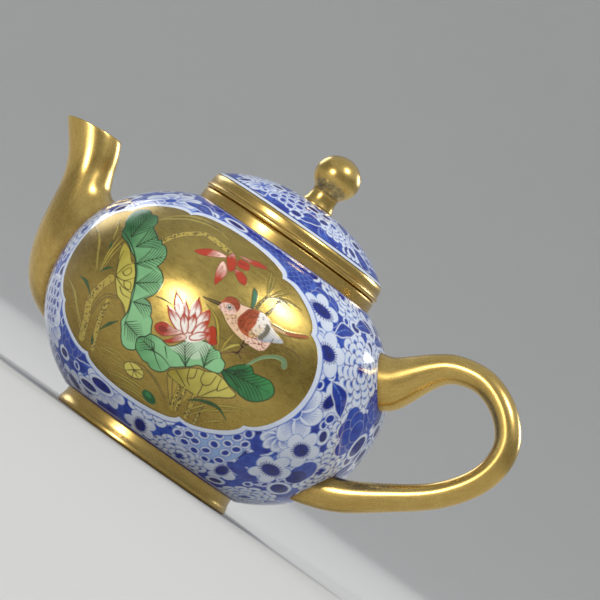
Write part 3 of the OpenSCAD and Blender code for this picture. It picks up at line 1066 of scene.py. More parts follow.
def scatterMotifs(paint):
    # fills the whole ground, the big flowers first and the small things in what is left
    rng = np.random.default_rng(ground["seed"])
    placed = []
    wanted = [("peony", 10.5, 10), ("fan", 8.5, 9), ("pod", 8.2, 12), ("cloud", 8.5, 22),
              ("thistle", 4.0, 44), ("leaf", 5.2, 90), ("oval", 2.7, 80), ("small", 2.1, 130),
              ("curl", 1.7, 160)]
    for kind, reach, count in wanted:
        for _ in range(count * 6):
            angle = rng.uniform(0, 360)
            height = rng.uniform(7, 83)
            radius = np.interp(height, paint.height, paint.radius)
            arc = np.interp(height, paint.height, paint.arc)
            turn = rng.uniform(0, 360)
            fits = True
            for a, s, r in placed:
                apart = math.hypot(math.radians((angle - a + 180) % 360 - 180) * radius, arc - s)
                fits = fits and apart > (reach + r) * 0.86
            if not fits:
                continue
            placed.append((angle, arc, reach))
            patch = paint.at(angle, height, reach * 1.9, turn)
            seed = len(placed)
            if kind == "peony":
                peony(patch, reach, seed)
            elif kind == "fan":
                fanFlower(patch, reach)
            elif kind == "pod":
                podFlower(patch, reach, seed)
            elif kind == "cloud":
                cloudFlower(patch, reach, seed)
            elif kind == "thistle":
                thistle(patch, reach, 1.15)
            elif kind == "leaf":
                blueLeaf(patch, reach * 2.5, reach * 1.1)
            elif kind == "oval":
                darkOval(patch, reach * 0.8, reach * 0.6)
            elif kind == "small":
                ringedDot(patch, 0, 0, reach * 0.55, rng)
            else:
                curl(patch, reach, rng)


panel = {
    "squareness": 2.1,
    "notchDepth": 1.5,
    "notchSpread": 3.2,
    "notchAngles": (26, 55.5),
    "proud": 0.2,
    "edgeProud": 0.07,
    "easing": 0.35,
    "deep": -1.0,
    "meanReach": 38,
    "pitch": 0.24,
    "spokes": 1200,
    "rings": 184,
    "underRings": 14,
}
panelMiddle = (panelLow[2] + panelHigh[2]) / 2


def panelEdge(angle):
    # how far the lobed outline is from the panel's middle, at an angle in degrees
    quarter = abs((angle + 90) % 180 - 90)
    x = abs(np.cos(np.radians(angle))) / panelHigh[0]
    y = abs(np.sin(np.radians(angle))) / (panelHigh[2] - panelMiddle)
    oval = (x ** panel["squareness"] + y ** panel["squareness"]) ** (-1 / panel["squareness"])
    for notch in panel["notchAngles"]:
        oval = oval - panel["notchDepth"] * np.exp(-abs(quarter - notch) / panel["notchSpread"])
    return oval


def placeFrontMotifs(paint):
    # the motifs beside the front panel, each with its own place
    white = blues["white"]
    paint.at(-38, 77, 14).disc(0, 0, 10, 7, blues["pale"])
    fanFlower(paint.at(-40, 76, 16), 10, 90)
    scales(paint.at(14, 79.5, 30), -6, 6.5, -17, 17)
    scales(paint.at(200, 79.5, 30), -6, 6.5, -17, 17)
    patch = paint.at(50, 27.5, 9)
    patch.disc(0, 0, 4.6, 4.2, lambda x, y: cobalt(x, y, 1, 0.1))
    patch = paint.at(56, 16, 12)
    patch.disc(0, 0, 7.5, 2.6, lambda x, y: cobalt(x, y, 2, 0.0))
    patch = paint.at(51.5, 20, 9)
    patch.disc(0, 0, 2.6, 5.6, lambda x, y: cobalt(x, y, 3, 0.5))
    pods = paint.at(39, 19.5, 22)
    pods.disc(-1, 0, 9.5, 9.5, blues["pale"])
    rng = np.random.default_rng(5)
    for angle, height in ((43.5, 27.5), (41.5, 24.5), (45.5, 24), (36.5, 21.5), (41, 21), (45, 21),
                          (32.5, 18.8), (38, 18.2), (43.5, 18), (32, 15.5), (38, 15), (45, 14.8), (35, 12.8),
                          (41, 12.5), (28.5, 16.2), (29.5, 13.2), (25, 14.5)):
        ringedDot(paint.at(angle, height, 4), 0, 0, rng.uniform(1.15, 1.4), rng)
    fanFlower(paint.at(52, 33, 12), 6.5, -60, 200)
    fanFlower(paint.at(51, 42, 16), 10.5, 20, 240)
    peony(paint.at(68, 66, 18), 12, 8)
    cloudFlower(paint.at(77, 48, 18), 9.5, 3)
    cloudFlower(paint.at(85, 58, 12), 6.5, 4)
    ball = paint.at(72, 27, 12)
    ball.disc(0, 0, 5.4, 6.4, white)
    ball.disc(0, 0, 4.9, 5.9, lambda x, y: cobalt(x, y, 6, 0.5))
    ball.disc(0.5, -2.4, 4.2, 3.3, darkCobalt)
    for angle, height, reach, wide in ((43.5, 74.5, 4.6, 1.3), (50.5, 64, 4.9, 1.05), (62.5, 33, 4.6, 1.0),
                                       (61.5, 22, 4.6, 1.3)):
        thistle(paint.at(angle, height, 12), reach, wide)
    blueLeaf(paint.at(62, 53.4, 12, -36), 13.5, 5.6)
    blueLeaf(paint.at(57, 73, 10, 30), 11, 4.4)
    blueLeaf(paint.at(72, 78, 10, 12), 12, 4.2)
    blueLeaf(paint.at(88, 77, 10, 8), 12, 3.8)
    ringedDot(paint.at(63.5, 47, 5), 0, 0, 1.6, rng)
    darkOval(paint.at(75, 18.5, 10), 4.2, 2.7, 0)
    darkOval(paint.at(86, 45, 10), 3.3, 4.2, -20)
    darkOval(paint.at(96, 53, 8), 2.8, 2.3, 10)
    darkOval(paint.at(95, 43, 8), 2.8, 3.2, 10)
    darkOval(paint.at(-13, 12.5, 10), 4.6, 2.2, 0)
    darkOval(paint.at(-22, 10, 10), 4.2, 1.8, 0)
    cloudFlower(paint.at(-33, 18, 12), 6.5, 9)
    podFlower(paint.at(-52, 26, 14), 10, 12)
    blueLeaf(paint.at(-42, 70.5, 9, 28), 9, 4)
    blueLeaf(paint.at(-28, 79, 12, 6), 14, 4.4)
    darkOval(paint.at(-9, 81.6, 8), 3.6, 1.2, 0)


def paintBorders(paint):
    # the white edge and thin blue lines around both panels, and the lines beside the rings
    canvas = paint.canvas
    x = paint.rowRadius * np.sin(np.radians(paint.angle))
    z = paint.rowHeight - panelMiddle
    away = np.hypot(x, z) - panelEdge(np.degrees(np.arctan2(z, x)))
    away = away + 0.12 * wash(paint.angle, paint.rowHeight, 9, 2)
    everything = Patch(canvas, np.arange(len(x)), x, z)
    cells = everything.cells

    def band(low, high, colour, strength=1.0):
        everything.lay(cells, bandCover(away, low, high, 0.22) * strength, colour)

    band(-3, 1.25, blues["white"])
    band(1.15, 1.45, blues["mid"], 0.9)
    fromTop = paint.arc[-1] - paint.rowArc
    for low, high, colour in ((0, 1.4, blues["deep"]), (1.4, 1.9, blues["white"]),
                              (1.9, 2.15, blues["deep"])):
        everything.lay(cells, bandCover(paint.rowArc, low, high, 0.3), colour)
        everything.lay(cells, bandCover(fromTop, low * 0.6, high * 0.6, 0.3), colour)


def makeGround():
    paint = BodyPaint()
    rng = np.random.default_rng(3)
    whole = Patch(paint.canvas, np.arange(len(paint.angle)), np.radians(paint.angle) * ground["meanRadius"],
                  paint.rowArc)
    share = 0.5 + 0.5 * wash(whole.x, whole.y, 7, 1)
    whole.lay(whole.cells, np.ones(len(whole.x)), blended(blues["deep"], blues["mid"], share))
    for _ in range(ground["strokes"]):
        patch = paint.at(rng.uniform(0, 360), rng.uniform(6, 84), 2.4, rng.uniform(0, 360))
        shade = blues["pale"] if rng.random() < 0.6 else blues["dark"]
        patch.stroke([(-1.3, 0), (0, 0.4), (1.3, 0)], (0.2, 0.42, 0.15), shade, None, 0.7, steps=3)
    scatterMotifs(paint)
    placeFrontMotifs(paint)
    paintBorders(paint)
    canvas = paint.canvas
    columns = ground["columns"]
    slope = np.stack([np.gradient(paint.height), -np.gradient(paint.radius)], -1)
    slope /= np.linalg.norm(slope, axis=1)[:, None]
    angle = np.radians(np.arange(columns) * 360 / columns)
    lift = canvas.height.reshape(ground["rows"], columns)
    radius = paint.radius[:, None] + slope[:, 0:1] * lift
    height = paint.height[:, None] + slope[:, 1:2] * lift
    outer = np.stack([radius * np.sin(angle), -radius * np.cos(angle), height], -1)
    inside = np.linspace(len(paint.arc) - 1, 0, ground["innerRows"]).astype(int)
    line = np.stack([paint.radius[inside], paint.height[inside]], -1) + slope[inside] * ground["deep"]
    points = np.concatenate([outer.reshape(-1, 3), turned(line, columns)])
    rows = ground["rows"] + ground["innerRows"]
    faces = gridFaces(rows + 1, columns) % (rows * columns)
    around = np.tile(np.arange(columns) / columns, rows)
    along = np.concatenate([paint.arc / paint.arc[-1] * 0.96, np.linspace(0.97, 1, ground["innerRows"])])
    uv = np.stack([around, np.repeat(along, columns)], -1)
    colour = np.ones((len(points), 4))
    colour[:, :3] = blues["white"]
    colour[:len(canvas.colour), :3] = canvas.colour
    values = {"paint": ("FLOAT_COLOR", "color", colour)}
    makePiece("blueGround", points, [faces], blueGlaze, "pot", (), values, uv, None)


makeGround()
print("blue ground painted")


# the picture panels: places are (x, height) in mm, as seen from the front
enamels = {
    "ink": tint(62, 46, 22),
    "leafInk": tint(26, 46, 20),
    "pine": tint(26, 88, 44),
    "leaf": tint(64, 140, 80),
    "mint": tint(138, 196, 142),
    "olive": tint(146, 132, 38),
    "yellow": tint(200, 190, 92),
    "straw": tint(186, 168, 66),
    "reed": tint(84, 70, 20),
    "rust": tint(176, 58, 30),
    "deepRust": tint(120, 30, 22),
    "blush": tint(244, 206, 190),
    "white": tint(246, 240, 232),
    "slate": tint(150, 162, 178),
    "grey": tint(96, 132, 100),
    "goldLight": np.array((0.62, 0.475, 0.145)),
    "goldDark": np.array((0.34, 0.24, 0.06)),
}


def veins(patch, node, turn, opening, length, count, ink, inside, width=0.34):
    # a vein running out from one place, with slanting side veins, and a shorter plain one on each side of it
    for side, share in ((0, 1), (-1, 0.55), (1, 0.55)):
        a = math.radians(turn + side * opening * 0.4)
        way = np.array((math.cos(a), math.sin(a)))
        across = np.array((-way[1], way[0]))
        far = length * share
        start = np.array(node, float)
        patch.stroke([start, start + way * far * 0.5, start + way * far], (width * 1.2, width, width * 0.4),
                     ink, inside, 0.9)
        if side:
            continue
        for k in range(count):
            root = start + way * far * (0.1 + 0.72 * k / count)
            reach = far * (0.5 - 0.28 * k / count)
            for lean in (-1, 1):
                bent = root + way * reach * 0.55 + across * lean * reach * 0.42
                end = root + way * reach * 0.95 + across * lean * reach * 0.9
                patch.stroke([root, bent, end], (width * 0.9, width * 0.8, width * 0.35), ink, inside, 0.85)


def shaded(first, second, start, end, size=6, seed=0):
    # a wash from one colour to another between two places
    start = np.array(start, float)
    way = np.array(end, float) - start
    length = way @ way

    def colour(x, y):
        share = ((x - start[0]) * way[0] + (y - start[1]) * way[1]) / length
        return blended(first, second, share + 0.16 * wash(x, y, size, seed))

    return colour


def dottedStalk(patch, points, width, paint, ink):
    # a stalk edged with two fine lines and set with small bristles
    line = smoothLine(points, 10)
    patch.stroke(points, width, paint, None, 0.6, 0.025)
    way = np.gradient(line, axis=0)
    side = np.stack([-way[:, 1], way[:, 0]], -1) / np.linalg.norm(way, axis=1)[:, None]
    for s in (-1, 1):
        patch.stroke(line + side * s * width / 2, 0.28, ink, None, 0.8, steps=1)
    rng = np.random.default_rng(int(abs(line[0, 0] * 10)))
    length = np.hypot(*np.diff(line, axis=0).T).sum()
    for _ in range(int(length / 0.85) * 2):
        i = rng.integers(0, len(line))
        p = line[i] + side[i] * rng.uniform(-0.36, 0.36) * width
        patch.disc(*p, 0.3, 0.22, ink, rng.uniform(0, 180), 0.9)


def blade(patch, points, width, paint, ink, strength=0.85):
    # a grass blade with a darker edge
    patch.stroke(points, (width * 0.25, width + 0.15, width * 0.2), ink, None, 0.85)
    patch.stroke(points, (width * 0.1, width * 0.55, width * 0.1), paint, None, strength, 0.04)


def petal(patch, points, tip, base, start, end, ink):
    cover = patch.fill(points, shaded(base, tip, start, end, 3))
    start = np.array(start)
    end = np.array(end)
    way = end - start
    side = np.array([-way[1], way[0]]) * 0.11
    for s in (-1, 0, 1):
        patch.stroke([start + way * 0.15, start + way * 0.5 + side * s, end - way * 0.1], (0.2, 0.28, 0.15),
                     ink, cover, 0.45)
    patch.outline(points, 0.22, ink)


def slimPetal(patch, tip, base, width):
    # a pointed petal between its tip and its base, red at the tip and white below
    tip = np.array(tip, float)
    base = np.array(base, float)
    way = base - tip
    side = np.array([-way[1], way[0]]) / np.linalg.norm(way) * width / 2
    shape = [tip, tip, tip + way * 0.3 + side * 0.8, tip + way * 0.6 + side, base + side * 0.5,
             base - side * 0.5, tip + way * 0.6 - side, tip + way * 0.3 - side * 0.8]
    fading = shaded(enamels["rust"], enamels["white"], tip + way * 0.12, tip + way * 0.5, 3, width)
    cover = patch.fill(shape, fading)
    patch.stroke([tip + way * 0.1, tip + way * 0.55], (0.7, 0.2), enamels["rust"], cover, 0.8)
    patch.outline(shape, 0.42, enamels["rust"])


bigLeafEdge = [(-36.5, 66.5), (-35, 68), (-32.5, 69), (-30, 68.3), (-30, 68.3), (-27.5, 68.7), (-25.5, 67),
               (-25, 65), (-25, 65), (-23, 64), (-21, 63.3), (-20, 62.3), (-20, 62.3), (-19, 63), (-17.5, 62),
               (-17.5, 62), (-15.5, 61.8), (-13.5, 60), (-12.6, 57.5), (-13, 55), (-13, 55), (-10.5, 54.2),
               (-8.3, 52.5), (-7.4, 50), (-7.6, 47), (-9.5, 44), (-9.5, 44), (-7, 43.7), (-5.3, 42.3),
               (-4.3, 40.3), (-4.3, 40.3), (-2.8, 39.3), (-1.8, 37.3), (-1, 35.7), (-2, 34), (-2, 34),
               (-4, 32.5), (-3.5, 30), (-3, 28.5), (-5.5, 27.2), (-8, 27.6), (-9.7, 29.3), (-11, 31.5),
               (-12.5, 33.5), (-12.3, 35.5), (-12.2, 38), (-13.7, 41), (-15, 43.5), (-16, 46), (-18, 49),
               (-20, 51), (-22, 53), (-24.5, 54), (-28, 55.7), (-32, 56.5), (-34, 58.5), (-34.5, 60),
               (-36, 61.5), (-36.7, 64)]
underLeafEdge = [(-3.8, 32.5), (-2, 34), (-1, 35.5), (0.5, 36), (3, 36.2), (6, 35.8), (8, 37), (10, 40),
                 (13, 43), (15.5, 43.8), (17.5, 44.3), (17.5, 44.3), (19.5, 43.6), (21, 44), (22.5, 42.5),
                 (22.5, 42.5), (24.3, 41.8), (25, 40), (24.5, 38), (22, 37), (18, 36.3), (16, 34.5), (14, 33),
                 (12, 31.5), (10.5, 30.5), (9.5, 28.5), (7.5, 27), (5, 26.5), (3, 27.3), (3, 27.3), (1, 27.2),
                 (-1, 28), (-3, 29), (-4, 31)]
sideLeafEdge = [(25, 39), (26.5, 42), (28.5, 44.5), (31, 46), (33, 44.5), (33, 44.5), (35.5, 45.2),
                (38, 45.6), (40.3, 44), (40.7, 41.5), (39, 38.5), (36.5, 36.5), (34, 36), (31, 36.5),
                (28, 37), (26, 38)]
seedLeafEdge = [
    (-29.5, 55.5), (-26, 54.5), (-24, 53), (-22, 51.5), (-20, 51.3), (-18, 49), (-16.5, 46.5), (-15, 44),
    (-13.7, 41), (-12.5, 38), (-12.3, 36), (-12.3, 36), (-14.5, 38), (-17, 39), (-19, 39.7), (-21, 41.5),
    (-24, 44.7), (-26, 48), (-28, 51), (-29.3, 53.5),
]
lowLeafEdge = [(10.5, 28.3), (11, 30), (13.5, 32), (16, 34), (18.5, 35.5), (18.5, 35.5), (21, 36.2),
               (23, 37.3), (25, 37.5), (27, 37.3), (27, 37.3), (29.5, 36.3), (32, 35.5), (31, 33.5),
               (28, 31.5), (28, 31.5), (25, 29.3), (22.5, 28), (18, 27.5), (13, 27.7)]


def paintLeftGrasses(patch):
    straw = enamels["straw"]
    reed = enamels["reed"]
    ink = enamels["ink"]
    dottedStalk(patch, [(-25, 43), (-27, 38), (-27.5, 33), (-25.5, 28), (-24, 22)], 3, straw, ink)
    dottedStalk(patch, [(-21, 36), (-20.5, 32), (-19.5, 27), (-18, 21)], 2, straw, ink)
    for points in ([(-19, 39.5), (-23, 38), (-24.5, 35), (-25, 30)],
                   [(-18.2, 39), (-22, 37.3), (-23.7, 34.5), (-24, 30)],
                   [(-16, 38.3), (-13.5, 36.5), (-12, 34.8)]):
        patch.stroke(points, 0.4, ink, None, 0.8)
    for points, width in (([(-46, 54.5), (-40, 52), (-36, 47.5), (-32, 43)], 1.1),
                          ([(-44, 54), (-39, 50.5), (-35.5, 46.5), (-31.5, 41.5)], 0.6),
                          ([(-39, 61), (-36.5, 58), (-34.5, 54)], 1.2),
                          ([(-33, 56), (-32.5, 50), (-31, 43)], 0.9),
                          ([(-31, 56), (-31.5, 50), (-30.5, 43)], 1.3),
                          ([(-29.5, 55), (-30.2, 50), (-30, 44)], 0.6),
                          ([(-41, 35), (-36, 33), (-31, 29), (-25, 24)], 1.2),
                          ([(-39, 34), (-34, 31), (-29, 26.5), (-24, 22)], 0.6)):
        blade(patch, points, width, straw, reed)
    for points in ([(-34.5, 54), (-33.6, 52), (-33, 50.5)], [(-26.5, 46.5), (-29, 45), (-30.5, 42.8)],
                   [(-37, 38), (-33, 37.5), (-28, 34.5)], [(-13.5, 33), (-16, 30.5), (-18.5, 27)],
                   [(-20, 24.5), (-19.3, 23), (-18.8, 21.5)]):
        blade(patch, points, 1.3, enamels["pine"], enamels["leafInk"], 0.8)
    for points in ([(-26, 69), (-22, 73), (-17, 76), (-10, 77), (-2, 75.7)],
                   [(-23, 70), (-19, 73.5), (-12, 76), (-5, 76.6)], [(-28, 66), (-24, 70), (-21, 72.3)]):
        blade(patch, points, 1.0, straw, reed, 0.7)
    patch.stroke([(-15, 76.3), (-10, 76.9), (-6, 76.9)], (0.15, 0.5, 0.15), ink, None, 0.8)
    dottedStalk(patch, [(-18, 63), (-16, 67), (-12, 71), (-8, 73), (0, 72.7), (3.4, 72)], 1.9, straw, ink)


def paintLeaves(patch):
    ink = enamels["leafInk"]
    brown = enamels["ink"]
    cover = patch.fill(seedLeafEdge, shaded(enamels["olive"], enamels["yellow"], (-32, 56), (-18, 46)))
    for points in ([(-24, 44.7), (-23, 49), (-21.5, 51)], [(-24, 44.7), (-20, 45), (-17, 48)],
                   [(-24, 44.7), (-19, 43), (-14, 43)], [(-24, 44.7), (-26.5, 49.5), (-27.5, 53)],
                   [(-22.6, 47), (-20.8, 46.5), (-19.6, 48.2), (-21, 49.6), (-22.6, 47)],
                   [(-20, 44.9), (-18.6, 43.4), (-16.2, 43.5), (-17.4, 45.6), (-20, 44.9)],
                   [(-20, 42.5), (-17.5, 41), (-14.6, 41.2)]):
        patch.stroke(points, (0.4, 0.32, 0.22), brown, cover, 0.9)
    patch.outline(seedLeafEdge, 0.32, brown)
    cover = patch.fill(bigLeafEdge, shaded(enamels["pine"], enamels["mint"], (-37, 66), (-7, 45), 9, 3))
    patch.fill([(-20, 56), (-14, 57), (-9, 50), (-6, 42), (-3, 37), (-7, 38), (-12, 45), (-18, 51)],
               enamels["mint"], cover, 0.35)
    for node, turn, opening, length in (((-29, 58.2), 98, 105, 10.5), ((-24.6, 56.4), 62, 85, 11.5),
                                        ((-20, 51.8), 48, 85, 11.5), ((-15.5, 46.6), 34, 90, 9.5),
                                        ((-12.3, 41), 18, 95, 9.5), ((-10.9, 34), -12, 120, 8)):
        veins(patch, node, turn, opening, length, 6, ink, cover)
    patch.stroke([(-34, 58.5), (-28, 56.6), (-23, 54), (-18, 49.6), (-14.5, 44), (-12, 38), (-10.7, 33)],
                 (0.4, 0.7, 0.3), ink, cover, 0.8)
    patch.outline(bigLeafEdge, 0.4, ink)
    cover = patch.fill(underLeafEdge, shaded(enamels["leaf"], enamels["mint"], (-6, 26), (5, 37), 7, 5))
    # painted highlight: a faint white patch over the top of the lower leaf
    patch.fill([(6, 36), (10, 40), (14, 43), (18, 43.6), (17, 38), (12, 36)], enamels["white"], cover, 0.35)
    for node, turn, opening, length, count in (((19.5, 37), 104, 85, 7.5, 5), ((14.5, 33.6), 124, 75, 8.5, 6),
                                               ((3, 31.7), 172, 70, 6.5, 4)):
        veins(patch, node, turn, opening, length, count, ink, cover)
    for points in ([(3, 31.7), (6.5, 31.7), (10.5, 30.5)], [(5.5, 35), (7, 33.4), (8, 32.3)],
                   [(3, 31.7), (5, 30), (8, 28)], [(3, 31.7), (1.5, 33.8), (-2, 33.6)]):
        patch.stroke(points, (0.45, 0.35, 0.2), ink, cover, 0.9)
    patch.outline(underLeafEdge, 0.35, ink)
    cover = patch.fill(sideLeafEdge, shaded(enamels["pine"], enamels["leaf"], (25, 36), (40, 46), 5, 6))
    veins(patch, (25.2, 39.8), 10, 62, 14.5, 7, ink, cover)
    veins(patch, (28.2, 40.4), 58, 60, 5, 3, ink, cover, 0.26)
    patch.outline(sideLeafEdge, 0.35, ink)
    cover = patch.fill(lowLeafEdge, shaded(enamels["olive"], enamels["yellow"], (12, 26), (26, 36), 5, 7))
    for points in ([(16, 33.6), (17, 30.5), (18.5, 29.3)],
                   [(20.5, 35.8), (20.7, 33), (22.3, 32), (24, 33.5), (24.3, 36.8)],
                   [(22, 32), (22.2, 30), (22, 28.3)], [(26, 36.8), (26.7, 33), (29, 36)],
                   [(26.6, 33.6), (24.8, 31), (23.4, 28.8)], [(18.2, 35), (18.6, 32.2), (17.2, 31)],
                   [(12.5, 30.8), (15, 29.6), (17.5, 28.2)]):
        patch.stroke(points, (0.3, 0.36, 0.28), brown, cover, 0.9)
    patch.outline(lowLeafEdge, 0.32, brown)


def paintWater(patch):
    straw = enamels["straw"]
    reed = enamels["reed"]
    ink = enamels["ink"]
    for height, left, right in ((22.6, -17, -5), (21.6, -15, 12), (20.8, -11, 4), (19, -10, 13), (18, -9, 7),
                                (17.2, -6, 12), (24, -14, -4), (16.4, -4, 9)):
        middle = (left + right) / 2
        blade(patch, [(left, height - 0.6), (middle, height + 0.6), (right, height)], 0.8, straw, reed, 0.75)
    patch.stroke([(-3, 25.3), (3, 25.6), (9, 24), (14.5, 20.5)], (0.2, 0.5, 0.2), reed, None, 0.9)
    patch.stroke([(0, 24.8), (6, 24.6), (12, 21.5), (15, 18.6)], (0.2, 0.4, 0.2), reed, None, 0.9)
    patch.disc(-0.3, 22.8, 4.1, 2.3, ink, 4)
    patch.disc(-0.3, 22.8, 3.8, 2.0, enamels["yellow"], 4)
    for end in ((-2.8, 24.2), (2.2, 24.4), (-2.9, 21.4), (2.4, 21.3), (0, 20.8), (3.4, 23.1)):
        patch.stroke([(-0.3, 22.9), end], (0.4, 0.25), ink, None, 0.85)
    patch.disc(8, 18.5, 2.8, 1.6, enamels["pine"], -8)
    patch.disc(7.5, 18.9, 1.3, 0.6, enamels["leaf"], -8, 0.7)
    patch.fill([(10.7, 27.7), (10.7, 27.7), (19, 27.4), (20, 26), (16.5, 19.2), (15.2, 20)], straw,
               None, 0.45)
    for points in ([(10.7, 27.7), (13.4, 23.5), (16, 19.5)], [(13, 27.4), (15, 23), (16.2, 19.8)]):
        patch.stroke(points, 0.35, ink, None, 0.85)
    for x, width in ((16, 1.3), (17.8, 1.2), (21.5, 1.5), (24.7, 0.9)):
        dottedStalk(patch, [(x, 27.6), (x + 0.1, 24), (x - 0.1, 20.2)], width, straw, ink)
    for points in ([(28, 30), (24.5, 26), (20, 21)], [(38, 34.3), (31, 30.5), (25, 26.5)],
                   [(33, 26.5), (30, 24.5), (27, 22)], [(30, 29), (26, 25.5), (22.5, 21.5)],
                   [(36, 32), (30, 28.2), (24.5, 23.8)]):
        blade(patch, points, 0.9, straw, reed)
    blade(patch, [(20, 25), (24, 27.5), (29, 28.7), (33, 27)], 1.3, enamels["pine"], enamels["leafInk"])


def paintFlowers(patch):
    rust = enamels["rust"]
    pale = enamels["blush"]
    ink = enamels["deepRust"]
    petal(patch, [(2.5, 68.5), (3.5, 65), (6.3, 61), (7, 63.5), (6.5, 66.5), (4, 68.5)], rust, pale,
          (3.5, 68), (6, 63.4), ink)
    petal(patch, [(-7, 66.5), (-4, 69.5), (0, 70.8), (2.5, 70.5), (-1, 68), (-4.5, 66.3)], rust, pale,
          (1, 70), (-3, 68), ink)
    petal(patch, [(5, 73.5), (8, 74.5), (11, 75.5), (14.2, 75.2), (11, 73.5), (8, 73.5)], rust, pale,
          (5, 73.7), (9.6, 74.6), ink)
    petal(patch, [(6, 72.5), (9, 73), (10.7, 71.5), (10, 70.5), (7, 70.3)], rust, rust, (6, 71.5),
          (10, 72), ink)
    petal(patch, [(7.5, 69), (10, 69.3), (12.5, 68.5), (13.7, 66.5), (11.5, 66.3), (9, 67.5)], rust, pale,
          (6.5, 69), (9.4, 68.4), ink)
    petal(patch, [(3, 73), (6, 71), (7.5, 68.5), (6.5, 67.3), (3.5, 69.5), (2.5, 71)], rust, pale,
          (2, 73.5), (4, 71), ink)
    patch.fill([(5.5, 41.5), (4, 44), (6, 48), (9, 49.5), (13, 48), (15, 44.5), (11, 40.5)], enamels["white"])
    petal(patch, [(13.5, 47), (14.5, 49.3), (16.5, 49), (17.5, 47), (19, 45.3), (17, 44), (14, 45.5)], rust,
          pale, (13, 45.5), (15, 47), ink)
    for tip, base, width in (((5.5, 54), (9, 46), 3.5), ((10.7, 53.3), (11, 45), 3.5),
                             ((2.5, 51), (7, 44), 2.6), ((-1.8, 51.5), (6, 44.6), 3),
                             ((-1.2, 46.3), (8, 42), 3), ((7.6, 49.4), (9.6, 43.4), 2.7),
                             ((12.6, 50.2), (11.4, 43), 2.7), ((4.4, 47.6), (8.6, 42.4), 2.5),
                             ((15.2, 46.6), (11, 42), 2.4)):
        slimPetal(patch, tip, base, width)
    petal(patch, [(-1.2, 39.5), (1, 41.5), (4.5, 41.5), (8, 42), (4, 38), (1, 37.3), (-0.8, 38)], rust, pale,
          (7, 41.5), (2.4, 39.4), ink)
    patch.fill([(0, 39.4), (1.6, 40.3), (3.6, 39.6), (2.4, 38.3), (0.6, 38.2)], ink, None, 0.75)
    petal(patch, [(4, 36.3), (6.5, 37), (10, 41), (8, 41.5), (5.5, 38)], rust, pale, (9, 41), (6, 38), ink)
    for end in ((7.4, 45.2), (8.6, 46), (10.4, 45.6), (11.6, 44.2), (6.6, 43.4)):
        patch.stroke([(9.4, 41.4), end], (0.14, 0.3), pale * 0.8, None, 0.6)


